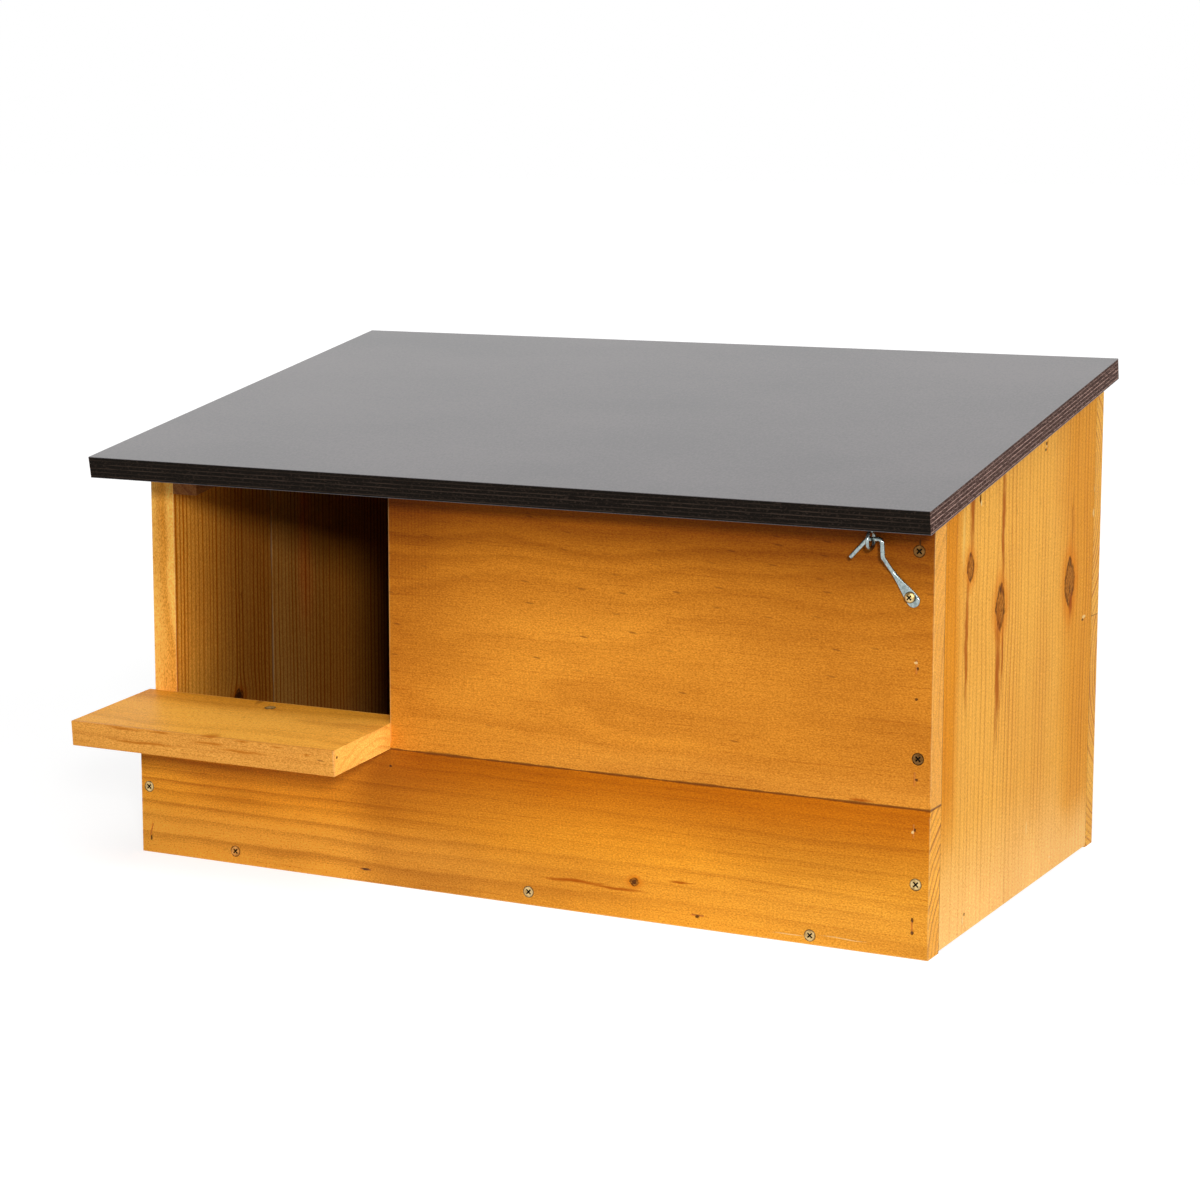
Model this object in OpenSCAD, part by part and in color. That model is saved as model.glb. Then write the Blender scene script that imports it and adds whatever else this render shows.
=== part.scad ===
// Owl nest box: a wide softwood box with an open entrance and a landing board at the left of its front,
// and a sloping plywood roof that lifts on two butt hinges and is held shut by a hook and a screw eye.
// X runs along the front to the right, Y to the back, Z up. The origin is in the plane of the floor's
// underside, halfway between the sides and between the front and back faces.

/* [Box] */
// Width of the box over both sides
body_w = 600; // [560:5:700]
// Depth of the box from its front face to its back face
body_d = 338; // [310:2:400]
// Height of the roof's underside over the base, at the front face
front_h = 280; // [260:2:330]
// Thickness of the front boards
front_t = 19; // [16:0.5:22]
// Thickness of the side boards
side_t = 19; // [16:0.5:22]
// Thickness of the back boards
back_t = 16; // [14:0.5:20]
// Thickness of the floor boards
floor_t = 18; // [15:0.5:22]
// How far the sides stop short of the base
side_lift = 1.5; // [0:0.5:3]
// Width of the front one of the two boards in each side
side_board_w = 123; // [100:1:150]
// Width of the front one of the two floor boards
floor_board_w = 120; // [100:1:140]
// Height of the lower one of the two back boards
lower_back_h = 170; // [140:2:200]

/* [Entrance and landing board] */
// Height of the lower front board
lower_front_h = 96; // [80:1:120]
// Distance from the box's left face to the upper front board
entrance_w = 209; // [170:1:250]
// Thickness of the landing board
landing_t = 17.5; // [14:0.5:22]
// How far the landing board stands out from the front face
landing_out = 71; // [50:1:95]
// Forward fall of the landing board in degrees
landing_fall = 4.2; // [0:0.2:8]
// How far the landing board runs past the box's left face
landing_past = 5; // [0:0.5:10]

/* [Roof] */
// Slope of the roof in degrees
roof_slope = 10; // [5:0.5:15]
// Thickness of the roof panel
roof_t = 15; // [14:0.5:21]
// Overhang of the roof past each side
roof_side_over = 10.5; // [0:0.5:40]
// Overhang of the roof past the front face, measured level
roof_front_over = 36; // [26:1:60]
// Gap between the closed roof and the boards under it
roof_gap = 0.2; // [0.1:0.05:0.5]

/* [Cleats and batten] */
// Width of the cleats that tie the boards of a side together
cleat_w = 20; // [15:1:30]
// Height of those cleats, square to the roof
cleat_h = 25; // [20:1:40]
// Width of the upright batten behind the front boards
batten_w = 25; // [20:1:40]
// Thickness of that batten
batten_t = 15; // [12:0.5:20]
// Space between the batten's top and the roof
batten_short = 30; // [10:1:60]

/* [Hinges] */
// Distance from each side's outer face to the middle of its hinge
hinge_inset = 110; // [80:5:160]
// Length of each hinge along its pin
hinge_len = 60; // [50:2:80]
// Number of knuckles on a hinge, an odd number
knuckles = 5; // [3:2:7]
// Width of each leaf on its board
leaf_w = 13; // [11:0.5:13.5]
// Thickness of the leaves
leaf_t = 1.5; // [1:0.1:2]
// Radius of the knuckles
knuckle_r = 2.75; // [2.5:0.05:3.5]
// Radius of the hinge pins
pin_r = 1.25; // [1:0.05:1.5]
// Gap between neighbouring knuckles, and between a knuckle and the wood
knuckle_gap = 0.35; // [0.3:0.05:0.5]
// Radial clearance of each pin in its knuckles
pin_clear = 0.05; // [0.02:0.01:0.1]
// Length of the hinge screws in the back board
hinge_screw_len = 20; // [16:1:30]
// Length of the hinge screws in the roof
roof_screw_len = 12; // [10:0.5:13]

/* [Latch] */
// Distance of the hook's screw from the box's right face
hook_inset = 15; // [12:0.5:16]
// Width of the hook's flat blade at its screw
blade_w = 8.5; // [8:0.5:10]
// Thickness of the blade
blade_t = 1.8; // [1.5:0.1:2.2]
// Length of the blade from its screw to its neck
blade_len = 18.6; // [17:0.1:21]
// How far the blade's round end is centred past its screw
blade_past = 2.8; // [0:0.2:4]
// Gap between the blade and the front face
blade_gap = 0.3; // [0.2:0.05:0.5]
// Radius of the hook's wire
hook_wire_r = 1.5; // [1.3:0.05:1.6]
// Bend radius of the wire, at its middle
hook_bend_r = 2.6; // [2.2:0.1:2.8]
// Distance of the latched wire and of the eye from the front face
latch_out = 8; // [7.5:0.25:12]
// How far the eye lies to the left of the hook's screw
eye_left = 24.4; // [23:0.1:26]
// How far the eye lies above the hook's screw
eye_up = 34.8; // [34:0.1:37]
// How far to the right of the eye the hook's wire starts to rise
rise_right = 8.2; // [7.9:0.1:8.6]
// Height of that rise
rise_h = 11.5; // [10.5:0.1:12.5]
// How far to the right of the eye it turns over
turn_right = 7.4; // [7.1:0.1:7.8]
// How far above the eye's middle it turns over
over_eye = 1; // [0.7:0.1:1.3]
// How far to the left of the eye it bends down
bend_left = 2.1; // [1.8:0.1:2.6]
// How much lower it is there
bend_down = 0.6; // [0.4:0.1:0.9]
// How far the tip reaches to the left of that bend
tip_left = 11.2; // [9:0.1:12]
// How far the tip reaches down from that bend
tip_down = 12.2; // [10:0.1:13]
// Distance from the roof's underside to the middle of the eye
eye_drop = 14.1; // [12:0.1:17]
// Radius of the eye, to the middle of its wire
eye_r = 5.7; // [5.6:0.05:6]
// Radius of the eye's wire
eye_wire_r = 1.2; // [1:0.05:1.3]
// Radius of the eye's screwed stem
eye_stem_r = 1.5; // [1.3:0.05:1.8]
// Length of the stem in the roof
eye_stem_len = 12; // [9:0.5:13]

/* [Screws] */
// Diameter of the wood screws' shanks
screw_d = 4; // [3.5:0.1:4.5]
// Diameter of their countersunk heads
head_d = 8; // [7:0.1:9]
// Length of the wood screws
screw_len = 40; // [35:1:50]
// Length of the screws in the batten
batten_screw_len = 25; // [20:1:28]
// Diameter of the hinge screws' shanks
hinge_screw_d = 3; // [2.5:0.1:3.5]
// Diameter of the hinge screws' heads
hinge_head_d = 5.6; // [5:0.1:6]
// Radial clearance of each screw in its hole
hole_clear = 0.1; // [0.05:0.05:0.2]
// Inset of the end screw in the lower front board from the left face
left_screw_inset = 6.5; // [6:0.5:9]
// Inset of the end screws in the front boards from the right face
right_screw_inset = 9; // [7:0.5:10]
// Distance of the upper front board's top screw below the roof
top_screw_down = 22; // [15:1:35]
// Height of its bottom screw over the lower front board
low_screw_up = 32; // [20:1:50]
// Inset of its top screw from the right face
top_screw_inset = 10.5; // [8:0.5:11]
// Distance of the landing board's screw from the box's left face
landing_screw_in = 107.5; // [60:0.5:140]
// Distance of the landing board's screw behind the front face
landing_screw_back = 7; // [6:0.5:11]
// Distance of the first floor screw from the left face
floor_screw_1 = 80; // [60:1:120]
// Distance of the second floor screw from the left face
floor_screw_2 = 316; // [260:1:360]
// Distance of the third floor screw from the left face
floor_screw_3 = 520; // [480:1:540]
// How far the third floor screw lies below the middle of the floor
floor_screw_low = 3; // [0:0.5:4]

/* [Staples] */
// Width of a staple's crown
staple_w = 8.9; // [7:0.1:10]
// Width of a staple's wire
staple_wire = 1.2; // [1:0.1:1.4]
// Thickness of a staple's wire
staple_t = 0.8; // [0.6:0.1:1]
// Length of a staple's legs
staple_len = 25; // [22:1:32]
// How deep a crown lies below the wood's surface
staple_sunk = 0.6; // [0.2:0.1:1]
// Inset of the staples at the right end of the front from the right face
right_staple_inset = 11; // [8:0.5:12]
// Height of the lowest of them
right_staple_z = 20.5; // [14:0.5:28]
// Height of the next one
right_staple_high = 82; // [70:1:88]
// Distance of the third one above the lower front board
upper_staple_1 = 19; // [12:1:24]
// Distance of the fourth one above the lower front board
upper_staple_2 = 90; // [60:1:120]
// Inset of the staple at the left end from the left face
left_staple_inset = 8; // [7:0.5:11]
// Height of that staple
left_staple_z = 17; // [14:0.5:24]
// Distance of the first staple in the floor's front edge from the left face
floor_staple_1 = 188; // [150:1:240]
// Distance of the second one from the left face
floor_staple_2 = 441; // [400:1:470]
// Distance of the front staples in the sides from the front face
side_staple_front = 65; // [50:1:110]
// Distance of the rear staples in the sides from the front face
side_staple_rear = 239; // [200:1:280]
// Distance of the front staples in the cleats from the front face
cleat_staple_front = 80; // [60:1:120]
// Distance of the rear staples in the cleats from the front face
cleat_staple_rear = 213; // [180:1:260]

/* [Floor holes] */
// Radius of the four drain and fixing holes in the floor
drain_r = 4; // [3:0.25:6]
// Distance between the holes along the box
drain_x = 480; // [380:10:500]
// Distance between the holes across the box
drain_y = 200; // [160:2:230]

/* [Hidden] */
$fn = 48;

front_wood = [0.84, 0.52, 0.17];
side_wood = [0.90, 0.66, 0.30];
hidden_wood = [0.80, 0.60, 0.32];
film_brown = [0.30, 0.25, 0.24];
zinc = [0.72, 0.76, 0.78];
yellow_zinc = [0.80, 0.70, 0.42];

// How far a cut runs past the face that it opens
cut_over = 1;
left_x = -body_w / 2;
right_x = body_w / 2;
front_y = -body_d / 2;
back_y = body_d / 2;
inner_front_y = front_y + front_t;
inner_back_y = back_y - back_t;
entrance_x = left_x + entrance_w;
inner_w = body_w - 2 * side_t;
side_joint_y = inner_front_y + side_board_w;
floor_joint_y = inner_front_y + floor_board_w;
roof_len = (body_d + roof_front_over) / cos(roof_slope);
roof_w = body_w + 2 * roof_side_over;

// Height of the roof's underside over the base at a place along Y
function under_roof(y) = front_h + (y - front_y) * tan(roof_slope);
// Height of the boards' tops there, one gap lower
function board_top(y) = under_roof(y) - roof_gap / cos(roof_slope);
function unit(v) = v / norm(v);

// Carries its children to the line where the roof's underside meets the back face, tilted with the roof
module at_ridge() {
    translate([0, back_y, under_roof(back_y)]) rotate([roof_slope, 0, 0]) children();
}

// A board whose outline is given in Y and Z, running along X
module across(x0, x1, outline) {
    translate([x0, 0, 0]) rotate([90, 0, 90]) linear_extrude(x1 - x0) polygon(outline);
}

// An upright board under the roof between two places along Y
module under_slope(x0, x1, y0, y1, z0) {
    across(x0, x1, [[y0, z0], [y1, z0], [y1, board_top(y1)], [y0, board_top(y0)]]);
}

// A countersunk screw pointing down from the origin, or the space it takes with a margin round it
module screw_body(d, head, len, grow = 0) {
    cone_h = (head - d) / 2;
    tip_h = d;
    translate([0, 0, -cone_h]) cylinder(h = cone_h, r1 = d / 2 + grow, r2 = head / 2 + grow);
    translate([0, 0, tip_h - len]) cylinder(h = len - tip_h, r = d / 2 + grow);
    translate([0, 0, -len - grow]) cylinder(h = tip_h + grow, r1 = 0.3, r2 = d / 2 + grow);
}

// The four-armed drive recess in a head of a given diameter
module cross_recess(head) {
    arm = 0.56 * head;
    slot = 0.13 * head;
    depth = 0.2 * head;
    for (turn = [45, 135]) rotate([0, 0, turn]) translate([-arm / 2, -slot / 2, -depth])
        cube([arm, slot, depth + cut_over]);
}

module countersunk_screw(d, head, len) {
    difference() {
        screw_body(d, head, len);
        cross_recess(head);
    }
}

// The hole that such a screw sits in, open at the top
module screw_hole(d, head, len) {
    screw_body(d, head, len, hole_clear);
    cylinder(h = cut_over, r = head / 2 + hole_clear);
}

// A staple whose crown runs along Z and whose legs run along +Y, or the slot it leaves with a margin
module staple_body(grow = 0, open = 0) {
    wide = staple_wire + 2 * grow;
    thick = staple_t + 2 * grow;
    translate([-wide / 2, staple_sunk - grow - open, -staple_w / 2 - grow])
        cube([wide, staple_t + 2 * grow + open, staple_w + 2 * grow]);
    for (side = [-1, 1]) translate([-wide / 2, staple_sunk, side * (staple_w - staple_t) / 2 - thick / 2])
        cube([wide, staple_len + grow, thick]);
}

module staple_slot() {
    staple_body(0.05, staple_sunk + cut_over);
}

// Places of the seven screws in the front face, as X and Z
end_screw_z = lower_front_h / 2;
floor_screw_z = floor_t / 2;
front_screw_sites = [
    [left_x + left_screw_inset, end_screw_z],
    [right_x - right_screw_inset, end_screw_z],
    [left_x + floor_screw_1, floor_screw_z],
    [left_x + floor_screw_2, floor_screw_z],
    [left_x + floor_screw_3, floor_screw_z - floor_screw_low],
    [right_x - right_screw_inset, lower_front_h + low_screw_up],
    [right_x - top_screw_inset, front_h - top_screw_down]
];

module at_front_screws() {
    for (site = front_screw_sites) translate([site.x, front_y, site.y]) rotate([90, 0, 0]) children();
}

// The screws in the back face: two at each end of each back board and three in the floor
back_top = board_top(inner_back_y);
back_end_z = [
    0.24 * lower_back_h, 0.76 * lower_back_h,
    0.76 * lower_back_h + 0.24 * back_top, 0.24 * lower_back_h + 0.76 * back_top
];
back_screw_sites = [
    for (z = back_end_z) for (side = [-1, 1]) [side * (body_w - side_t) / 2, z],
    for (place = [-1, 0, 1]) [place * inner_w / 3, floor_screw_z]
];

module at_back_screws() {
    for (site = back_screw_sites) translate([site.x, back_y, site.y]) rotate([-90, 0, 0]) children();
}

// The landing board's screw stands square to the board, over the middle of the lower front board

module at_landing_screw() {
    translate([left_x + landing_screw_in, front_y, lower_front_h]) rotate([landing_fall, 0, 0])
        translate([0, landing_screw_back, landing_t]) children();
}

// Batten screws, from the inside: one in the lower front board and two in the upper one
batten_x = entrance_x + batten_w / 2;
batten_top = front_h - batten_short;
batten_screw_z = [(floor_t + lower_front_h) / 2, lower_front_h + low_screw_up, batten_top - batten_w];

module at_batten_screws() {
    for (z = batten_screw_z) translate([batten_x, inner_front_y + batten_t, z])
        rotate([-90, 0, 0]) children();
}

// Front staples as X, Z and the crown's turn from upright
front_staple_sites = [
    [right_x - right_staple_inset, right_staple_z, 0],
    [right_x - right_staple_inset, right_staple_high, 0],
    [right_x - right_staple_inset, lower_front_h + upper_staple_1, 0],
    [right_x - right_staple_inset, lower_front_h + upper_staple_2, 0],
    [left_x + left_staple_inset, left_staple_z, 15],
    [left_x + floor_staple_1, floor_screw_z, 90],
    [left_x + floor_staple_2, floor_screw_z, 90]
];

module at_front_staples() {
    for (site = front_staple_sites) translate([site.x, front_y, site.y]) rotate([0, site.z, 0]) children();
}

// Side staples as distance behind the front face and Z: two in the floor's ends and two in the cleat
side_staple_sites = [
    for (back = [side_staple_front, side_staple_rear]) [back, 0.62 * floor_t],
    [cleat_staple_front, under_roof(front_y + cleat_staple_front) - 0.44 * cleat_h],
    [cleat_staple_rear, under_roof(front_y + cleat_staple_rear) - 0.6 * cleat_h]
];

// side is 1 on the right face and -1 on the left
module at_side_staples(side) {
    for (site = side_staple_sites) translate([side * body_w / 2, front_y + site.x, site.y])
        rotate([0, 0, side * 90]) children();
}

// Hook and eye. Distances in front of the face are measured out from it
hook_x = right_x - hook_inset;
eye_x = hook_x - eye_left;
eye_y = front_y - latch_out;
eye_root_y = eye_y - eye_drop * sin(roof_slope);
eye_z = under_roof(eye_root_y) - eye_drop * cos(roof_slope);
hook_z = eye_z - eye_up;
blade_turn = 128.7;
blade_top = blade_gap + blade_t;
neck_out = blade_gap + hook_wire_r + 0.15;
neck = [blade_len * cos(blade_turn), blade_len * sin(blade_turn)];
turn_z = eye_up + over_eye;
// The wire's corners from the screw, as X, Z and distance out: it leaves the neck, rises, turns over and
// runs through the eye, and ends in a straight tip
wire_corners = [
    [0.72 * neck.x, 0.72 * neck.y, neck_out],
    [neck.x, neck.y, neck_out],
    [rise_right - eye_left, turn_z - rise_h, latch_out],
    [turn_right - eye_left, turn_z, latch_out],
    [-bend_left - eye_left, turn_z - bend_down, latch_out],
    [-bend_left - tip_left - eye_left, turn_z - bend_down - tip_down, latch_out]
];
wire_path = [for (c = wire_corners) [c.x, -c.z, c.y]];

module at_hook() {
    translate([hook_x, front_y, hook_z]) children();
}

// A straight rod from one point to another
module rod(from, to, r) {
    run = to - from;
    translate(from) rotate([0, acos(run.z / norm(run)), atan2(run.y, run.x)]) cylinder(h = norm(run), r = r);
}

// A round wire along corner points, with every inner corner bent to one radius. The bends are a hair thicker
// than the straights, which run a little way into them
module bent_wire(points, r, bend_r) {
    swell = 0.06;
    poke = 0.25;
    last = len(points) - 1;
    runs = [for (i = [0:last - 1]) unit(points[i + 1] - points[i])];
    turns = [for (i = [1:last - 1]) acos(runs[i - 1] * runs[i])];
    cuts = [poke, for (turn = turns) bend_r * tan(turn / 2), poke];
    for (i = [0:last - 1])
        rod(points[i] + (cuts[i] - poke) * runs[i], points[i + 1] - (cuts[i + 1] - poke) * runs[i], r);
    for (i = [1:last - 1]) {
        start = points[i] - cuts[i] * runs[i - 1];
        side = unit(cross(runs[i - 1], runs[i]));
        centre = start + bend_r * cross(side, runs[i - 1]);
        x_axis = (start - centre) / bend_r;
        y_axis = runs[i - 1];
        multmatrix([
            [x_axis.x, y_axis.x, side.x, centre.x],
            [x_axis.y, y_axis.y, side.y, centre.y],
            [x_axis.z, y_axis.z, side.z, centre.z],
            [0, 0, 0, 1]
        ]) rotate_extrude(angle = turns[i - 1]) translate([bend_r, 0]) circle(r = r + swell, $fn = 32);
    }
}

// Outline of the blade: a round end that tapers to the neck. Its straight sides start just inside the rounds
module blade_outline() {
    big = blade_w / 2;
    small = hook_wire_r + 0.25;
    lean = asin((big - small) / (blade_len + blade_past));
    side_x = 0.985 * sin(lean);
    side_y = 0.985 * cos(lean);
    translate([-blade_past, 0]) circle(r = big);
    translate([blade_len, 0]) circle(r = small);
    polygon([
        for (side = [1, -1]) [big * side_x - blade_past, side * big * side_y],
        for (side = [-1, 1]) [blade_len + small * side_x, side * small * side_y]
    ]);
}

// The hook's screw: a round head over the blade and a shank through it
pivot_r = screw_d / 2;
pivot_head_r = 0.9 * screw_d;
pivot_head_h = 0.6 * screw_d;
pivot_shank_len = 0.75 * screw_len;
pivot_clear = 0.05;
pivot_head_gap = 0.2;

module pivot_shank(grow = 0) {
    rotate([-90, 0, 0]) cylinder(h = pivot_shank_len + grow, r = pivot_r + grow);
}

// Hinge sizes shared by its leaves and pin, in the ridge frame
pin_back = knuckle_r + knuckle_gap;
pin_low = -roof_gap / 2;
hinge_x = body_w / 2 - hinge_inset;
knuckle_len = (hinge_len - (knuckles - 1) * knuckle_gap) / knuckles;
knuckle_pitch = knuckle_len + knuckle_gap;
hinge_screw_x = [-hinge_len / 3, 0, hinge_len / 3];
hinge_screw_y = -0.55 * leaf_w;
pin_head_r = pin_r + 0.6;
pin_head_t = 0.8;

// side is 1 for the roof's leaf and -1 for the box's
function leaf_low(side) = side > 0 ? 0 : -roof_gap - leaf_t;

module hinge_screw_places(side) {
    for (x = hinge_screw_x) translate([x, hinge_screw_y, side > 0 ? 0 : -roof_gap])
        rotate([side > 0 ? 180 : 0, 0, 0]) children();
}

// One leaf: a plate let into the wood, with tongues to every other knuckle on the pin line
module hinge_leaf(side) {
    first = side > 0 ? 1 : 0;
    screw_run = side > 0 ? roof_screw_len : hinge_screw_len;
    difference() {
        union() {
            translate([-hinge_len / 2, -leaf_w, leaf_low(side)]) cube([hinge_len, leaf_w, leaf_t]);
            for (i = [first:2:knuckles - 1]) translate([i * knuckle_pitch - hinge_len / 2, 0, 0]) {
                translate([0, -leaf_t, leaf_low(side)]) cube([knuckle_len, pin_back + leaf_t, leaf_t]);
                translate([0, pin_back, pin_low]) rotate([0, 90, 0])
                    cylinder(h = knuckle_len, r = knuckle_r);
            }
        }
        translate([-hinge_len / 2 - cut_over, pin_back, pin_low]) rotate([0, 90, 0])
            cylinder(h = hinge_len + 2 * cut_over, r = pin_r + pin_clear);
        hinge_screw_places(side) screw_hole(hinge_screw_d, hinge_head_d, screw_run);
    }
}

module hinge_pin() {
    over = knuckle_gap;
    translate([-hinge_len / 2 - over, pin_back, pin_low]) rotate([0, 90, 0])
        cylinder(h = hinge_len + 2 * over, r = pin_r);
    for (side = [-1, 1]) translate([side * (hinge_len / 2 + over + pin_head_t / 2), pin_back, pin_low])
        rotate([0, 90, 0]) cylinder(h = pin_head_t, r = pin_head_r, center = true);
}

// The shallow mortise that a leaf lies in
module leaf_mortise(side) {
    slack = 0.1;
    translate([-hinge_len / 2 - slack, -leaf_w - slack, side > 0 ? -cut_over : leaf_low(side)])
        cube([hinge_len + 2 * slack, leaf_w + slack + cut_over, leaf_t + cut_over]);
}

module at_hinges() {
    for (x = [-hinge_x, hinge_x]) at_hinge(x) children();
}

module at_hinge(x) {
    at_ridge() translate([x, 0, 0]) children();
}

// Eye in its own frame: the roof's underside at the origin, the stem going up and the ring hanging below
module eye_stem(grow = 0) {
    cylinder(h = eye_stem_len + grow, r = eye_stem_r + grow);
}

module at_eye() {
    translate([eye_x, eye_root_y, under_roof(eye_root_y)]) rotate([roof_slope, 0, 0]) children();
}

module lower_front_board() {
    color(front_wood) difference() {
        translate([left_x, front_y, 0]) cube([body_w, front_t, lower_front_h]);
        at_front_screws() screw_hole(screw_d, head_d, screw_len);
        at_front_staples() staple_slot();
        at_landing_screw() screw_hole(screw_d, head_d, screw_len);
        at_batten_screws() screw_hole(screw_d, head_d, batten_screw_len);
    }
}

module upper_front_board() {
    color(front_wood) difference() {
        under_slope(entrance_x, right_x, front_y, inner_front_y, lower_front_h);
        at_front_screws() screw_hole(screw_d, head_d, screw_len);
        at_front_staples() staple_slot();
        at_batten_screws() screw_hole(screw_d, head_d, batten_screw_len);
        at_hook() pivot_shank(hole_clear);
    }
}

// The underside is planed level where it sits on the lower front board, and falls from there to the front
module landing_board() {
    fall = tan(landing_fall);
    top = landing_t / cos(landing_fall);
    nose = landing_t * sin(landing_fall);
    outline = [
        [inner_front_y, lower_front_h],
        [inner_front_y, lower_front_h + top + front_t * fall],
        [front_y - landing_out - nose, lower_front_h + top - (landing_out + nose) * fall],
        [front_y - landing_out, lower_front_h - landing_out * fall],
        [front_y, lower_front_h]
    ];
    color(front_wood) difference() {
        across(left_x - landing_past, entrance_x, outline);
        at_landing_screw() screw_hole(screw_d, head_d, screw_len);
    }
}

// One of the two upright boards of a side, with the holes of all fixings that reach it
module side_board(side, y0, y1) {
    outer = side * body_w / 2;
    inner = side * inner_w / 2;
    color(side_wood) difference() {
        under_slope(min(inner, outer), max(inner, outer), y0, y1, side_lift);
        at_front_screws() screw_hole(screw_d, head_d, screw_len);
        at_back_screws() screw_hole(screw_d, head_d, screw_len);
        at_front_staples() staple_slot();
        at_side_staples(side) staple_slot();
        at_hook() pivot_shank(hole_clear);
    }
}

module left_side_front_board() {
    side_board(-1, inner_front_y, side_joint_y);
}

module left_side_rear_board() {
    side_board(-1, side_joint_y, inner_back_y);
}

module right_side_front_board() {
    side_board(1, inner_front_y, side_joint_y);
}

module right_side_rear_board() {
    side_board(1, side_joint_y, inner_back_y);
}

module lower_back_board() {
    color(hidden_wood) difference() {
        translate([left_x, inner_back_y, 0]) cube([body_w, back_t, lower_back_h]);
        at_back_screws() screw_hole(screw_d, head_d, screw_len);
    }
}

module upper_back_board() {
    color(hidden_wood) difference() {
        under_slope(left_x, right_x, inner_back_y, back_y, lower_back_h);
        at_back_screws() screw_hole(screw_d, head_d, screw_len);
        at_hinges() {
            leaf_mortise(-1);
            hinge_screw_places(-1) screw_hole(hinge_screw_d, hinge_head_d, hinge_screw_len);
        }
    }
}

module floor_board(y0, y1) {
    color(hidden_wood) difference() {
        translate([-inner_w / 2, y0, 0]) cube([inner_w, y1 - y0, floor_t]);
        for (x = [-1, 1]) for (y = [-1, 1]) translate([x * drain_x / 2, y * drain_y / 2, -cut_over])
            cylinder(h = floor_t + 2 * cut_over, r = drain_r);
        at_front_screws() screw_hole(screw_d, head_d, screw_len);
        at_back_screws() screw_hole(screw_d, head_d, screw_len);
        at_front_staples() staple_slot();
        for (side = [-1, 1]) at_side_staples(side) staple_slot();
    }
}

module floor_front_board() {
    floor_board(inner_front_y, floor_joint_y);
}

module floor_rear_board() {
    floor_board(floor_joint_y, inner_back_y);
}

// A cleat along the top of a side, inside, running with the roof's slope
module side_cleat(side) {
    inner = side * inner_w / 2;
    edge = side * (inner_w / 2 - cleat_w);
    drop = cleat_h / cos(roof_slope);
    y0 = inner_front_y;
    y1 = inner_back_y;
    color(hidden_wood) difference() {
        across(min(inner, edge), max(inner, edge), [
            [y0, board_top(y0) - drop], [y1, board_top(y1) - drop], [y1, board_top(y1)], [y0, board_top(y0)]
        ]);
        at_side_staples(side) staple_slot();
    }
}

module left_side_cleat() {
    side_cleat(-1);
}

module right_side_cleat() {
    side_cleat(1);
}

module joint_batten() {
    color(hidden_wood) difference() {
        translate([entrance_x, inner_front_y, floor_t]) cube([batten_w, batten_t, batten_top - floor_t]);
        at_batten_screws() screw_hole(screw_d, head_d, batten_screw_len);
    }
}

module roof_panel() {
    color(film_brown) difference() {
        at_ridge() translate([-roof_w / 2, -roof_len, 0]) cube([roof_w, roof_len, roof_t]);
        at_hinges() {
            leaf_mortise(1);
            hinge_screw_places(1) screw_hole(hinge_screw_d, hinge_head_d, roof_screw_len);
        }
        at_eye() eye_stem(hole_clear);
    }
}

module left_hinge_box_leaf() {
    color(yellow_zinc) at_hinge(-hinge_x) hinge_leaf(-1);
}

module left_hinge_roof_leaf() {
    color(yellow_zinc) at_hinge(-hinge_x) hinge_leaf(1);
}

module left_hinge_pin() {
    color(zinc) at_hinge(-hinge_x) hinge_pin();
}

module right_hinge_box_leaf() {
    color(yellow_zinc) at_hinge(hinge_x) hinge_leaf(-1);
}

module right_hinge_roof_leaf() {
    color(yellow_zinc) at_hinge(hinge_x) hinge_leaf(1);
}

module right_hinge_pin() {
    color(zinc) at_hinge(hinge_x) hinge_pin();
}

module hinge_box_screws() {
    color(yellow_zinc) at_hinges() hinge_screw_places(-1)
        countersunk_screw(hinge_screw_d, hinge_head_d, hinge_screw_len);
}

module hinge_roof_screws() {
    color(yellow_zinc) at_hinges() hinge_screw_places(1)
        countersunk_screw(hinge_screw_d, hinge_head_d, roof_screw_len);
}

module latch_hook() {
    color(zinc) at_hook() difference() {
        union() {
            rotate([90, 0, 0]) rotate([0, 0, blade_turn]) translate([0, 0, blade_gap])
                linear_extrude(blade_t) blade_outline();
            bent_wire(wire_path, hook_wire_r, hook_bend_r);
            translate(wire_path[0]) sphere(r = hook_wire_r, $fn = 32);
        }
        rotate([90, 0, 0]) cylinder(h = blade_top + cut_over, r = pivot_r + pivot_clear);
    }
}

module hook_screw() {
    seat = blade_top + pivot_head_gap;
    crown = pivot_head_h / 2;
    color(yellow_zinc) at_hook() {
        pivot_shank();
        rotate([90, 0, 0]) difference() {
            union() {
                cylinder(h = seat + crown, r = pivot_r);
                translate([0, 0, seat]) cylinder(h = crown, r = pivot_head_r);
                translate([0, 0, seat + crown])
                    cylinder(h = crown, r1 = pivot_head_r, r2 = pivot_head_r / 2);
            }
            translate([0, 0, seat + pivot_head_h]) cross_recess(2 * pivot_head_r);
        }
    }
}

module screw_eye() {
    color(zinc) at_eye() {
        eye_stem();
        translate([0, 0, eye_r - eye_drop]) cylinder(h = eye_drop - eye_r, r = eye_wire_r);
        translate([0, 0, -eye_drop]) rotate([0, 90, 0]) rotate_extrude() translate([eye_r, 0])
            circle(r = eye_wire_r, $fn = 32);
    }
}

module front_screws() {
    color(yellow_zinc) at_front_screws() countersunk_screw(screw_d, head_d, screw_len);
}

module landing_board_screw() {
    color(yellow_zinc) at_landing_screw() countersunk_screw(screw_d, head_d, screw_len);
}

module back_screws() {
    color(yellow_zinc) at_back_screws() countersunk_screw(screw_d, head_d, screw_len);
}

module batten_screws() {
    color(yellow_zinc) at_batten_screws() countersunk_screw(screw_d, head_d, batten_screw_len);
}

module front_staples() {
    color(zinc) at_front_staples() staple_body();
}

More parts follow.
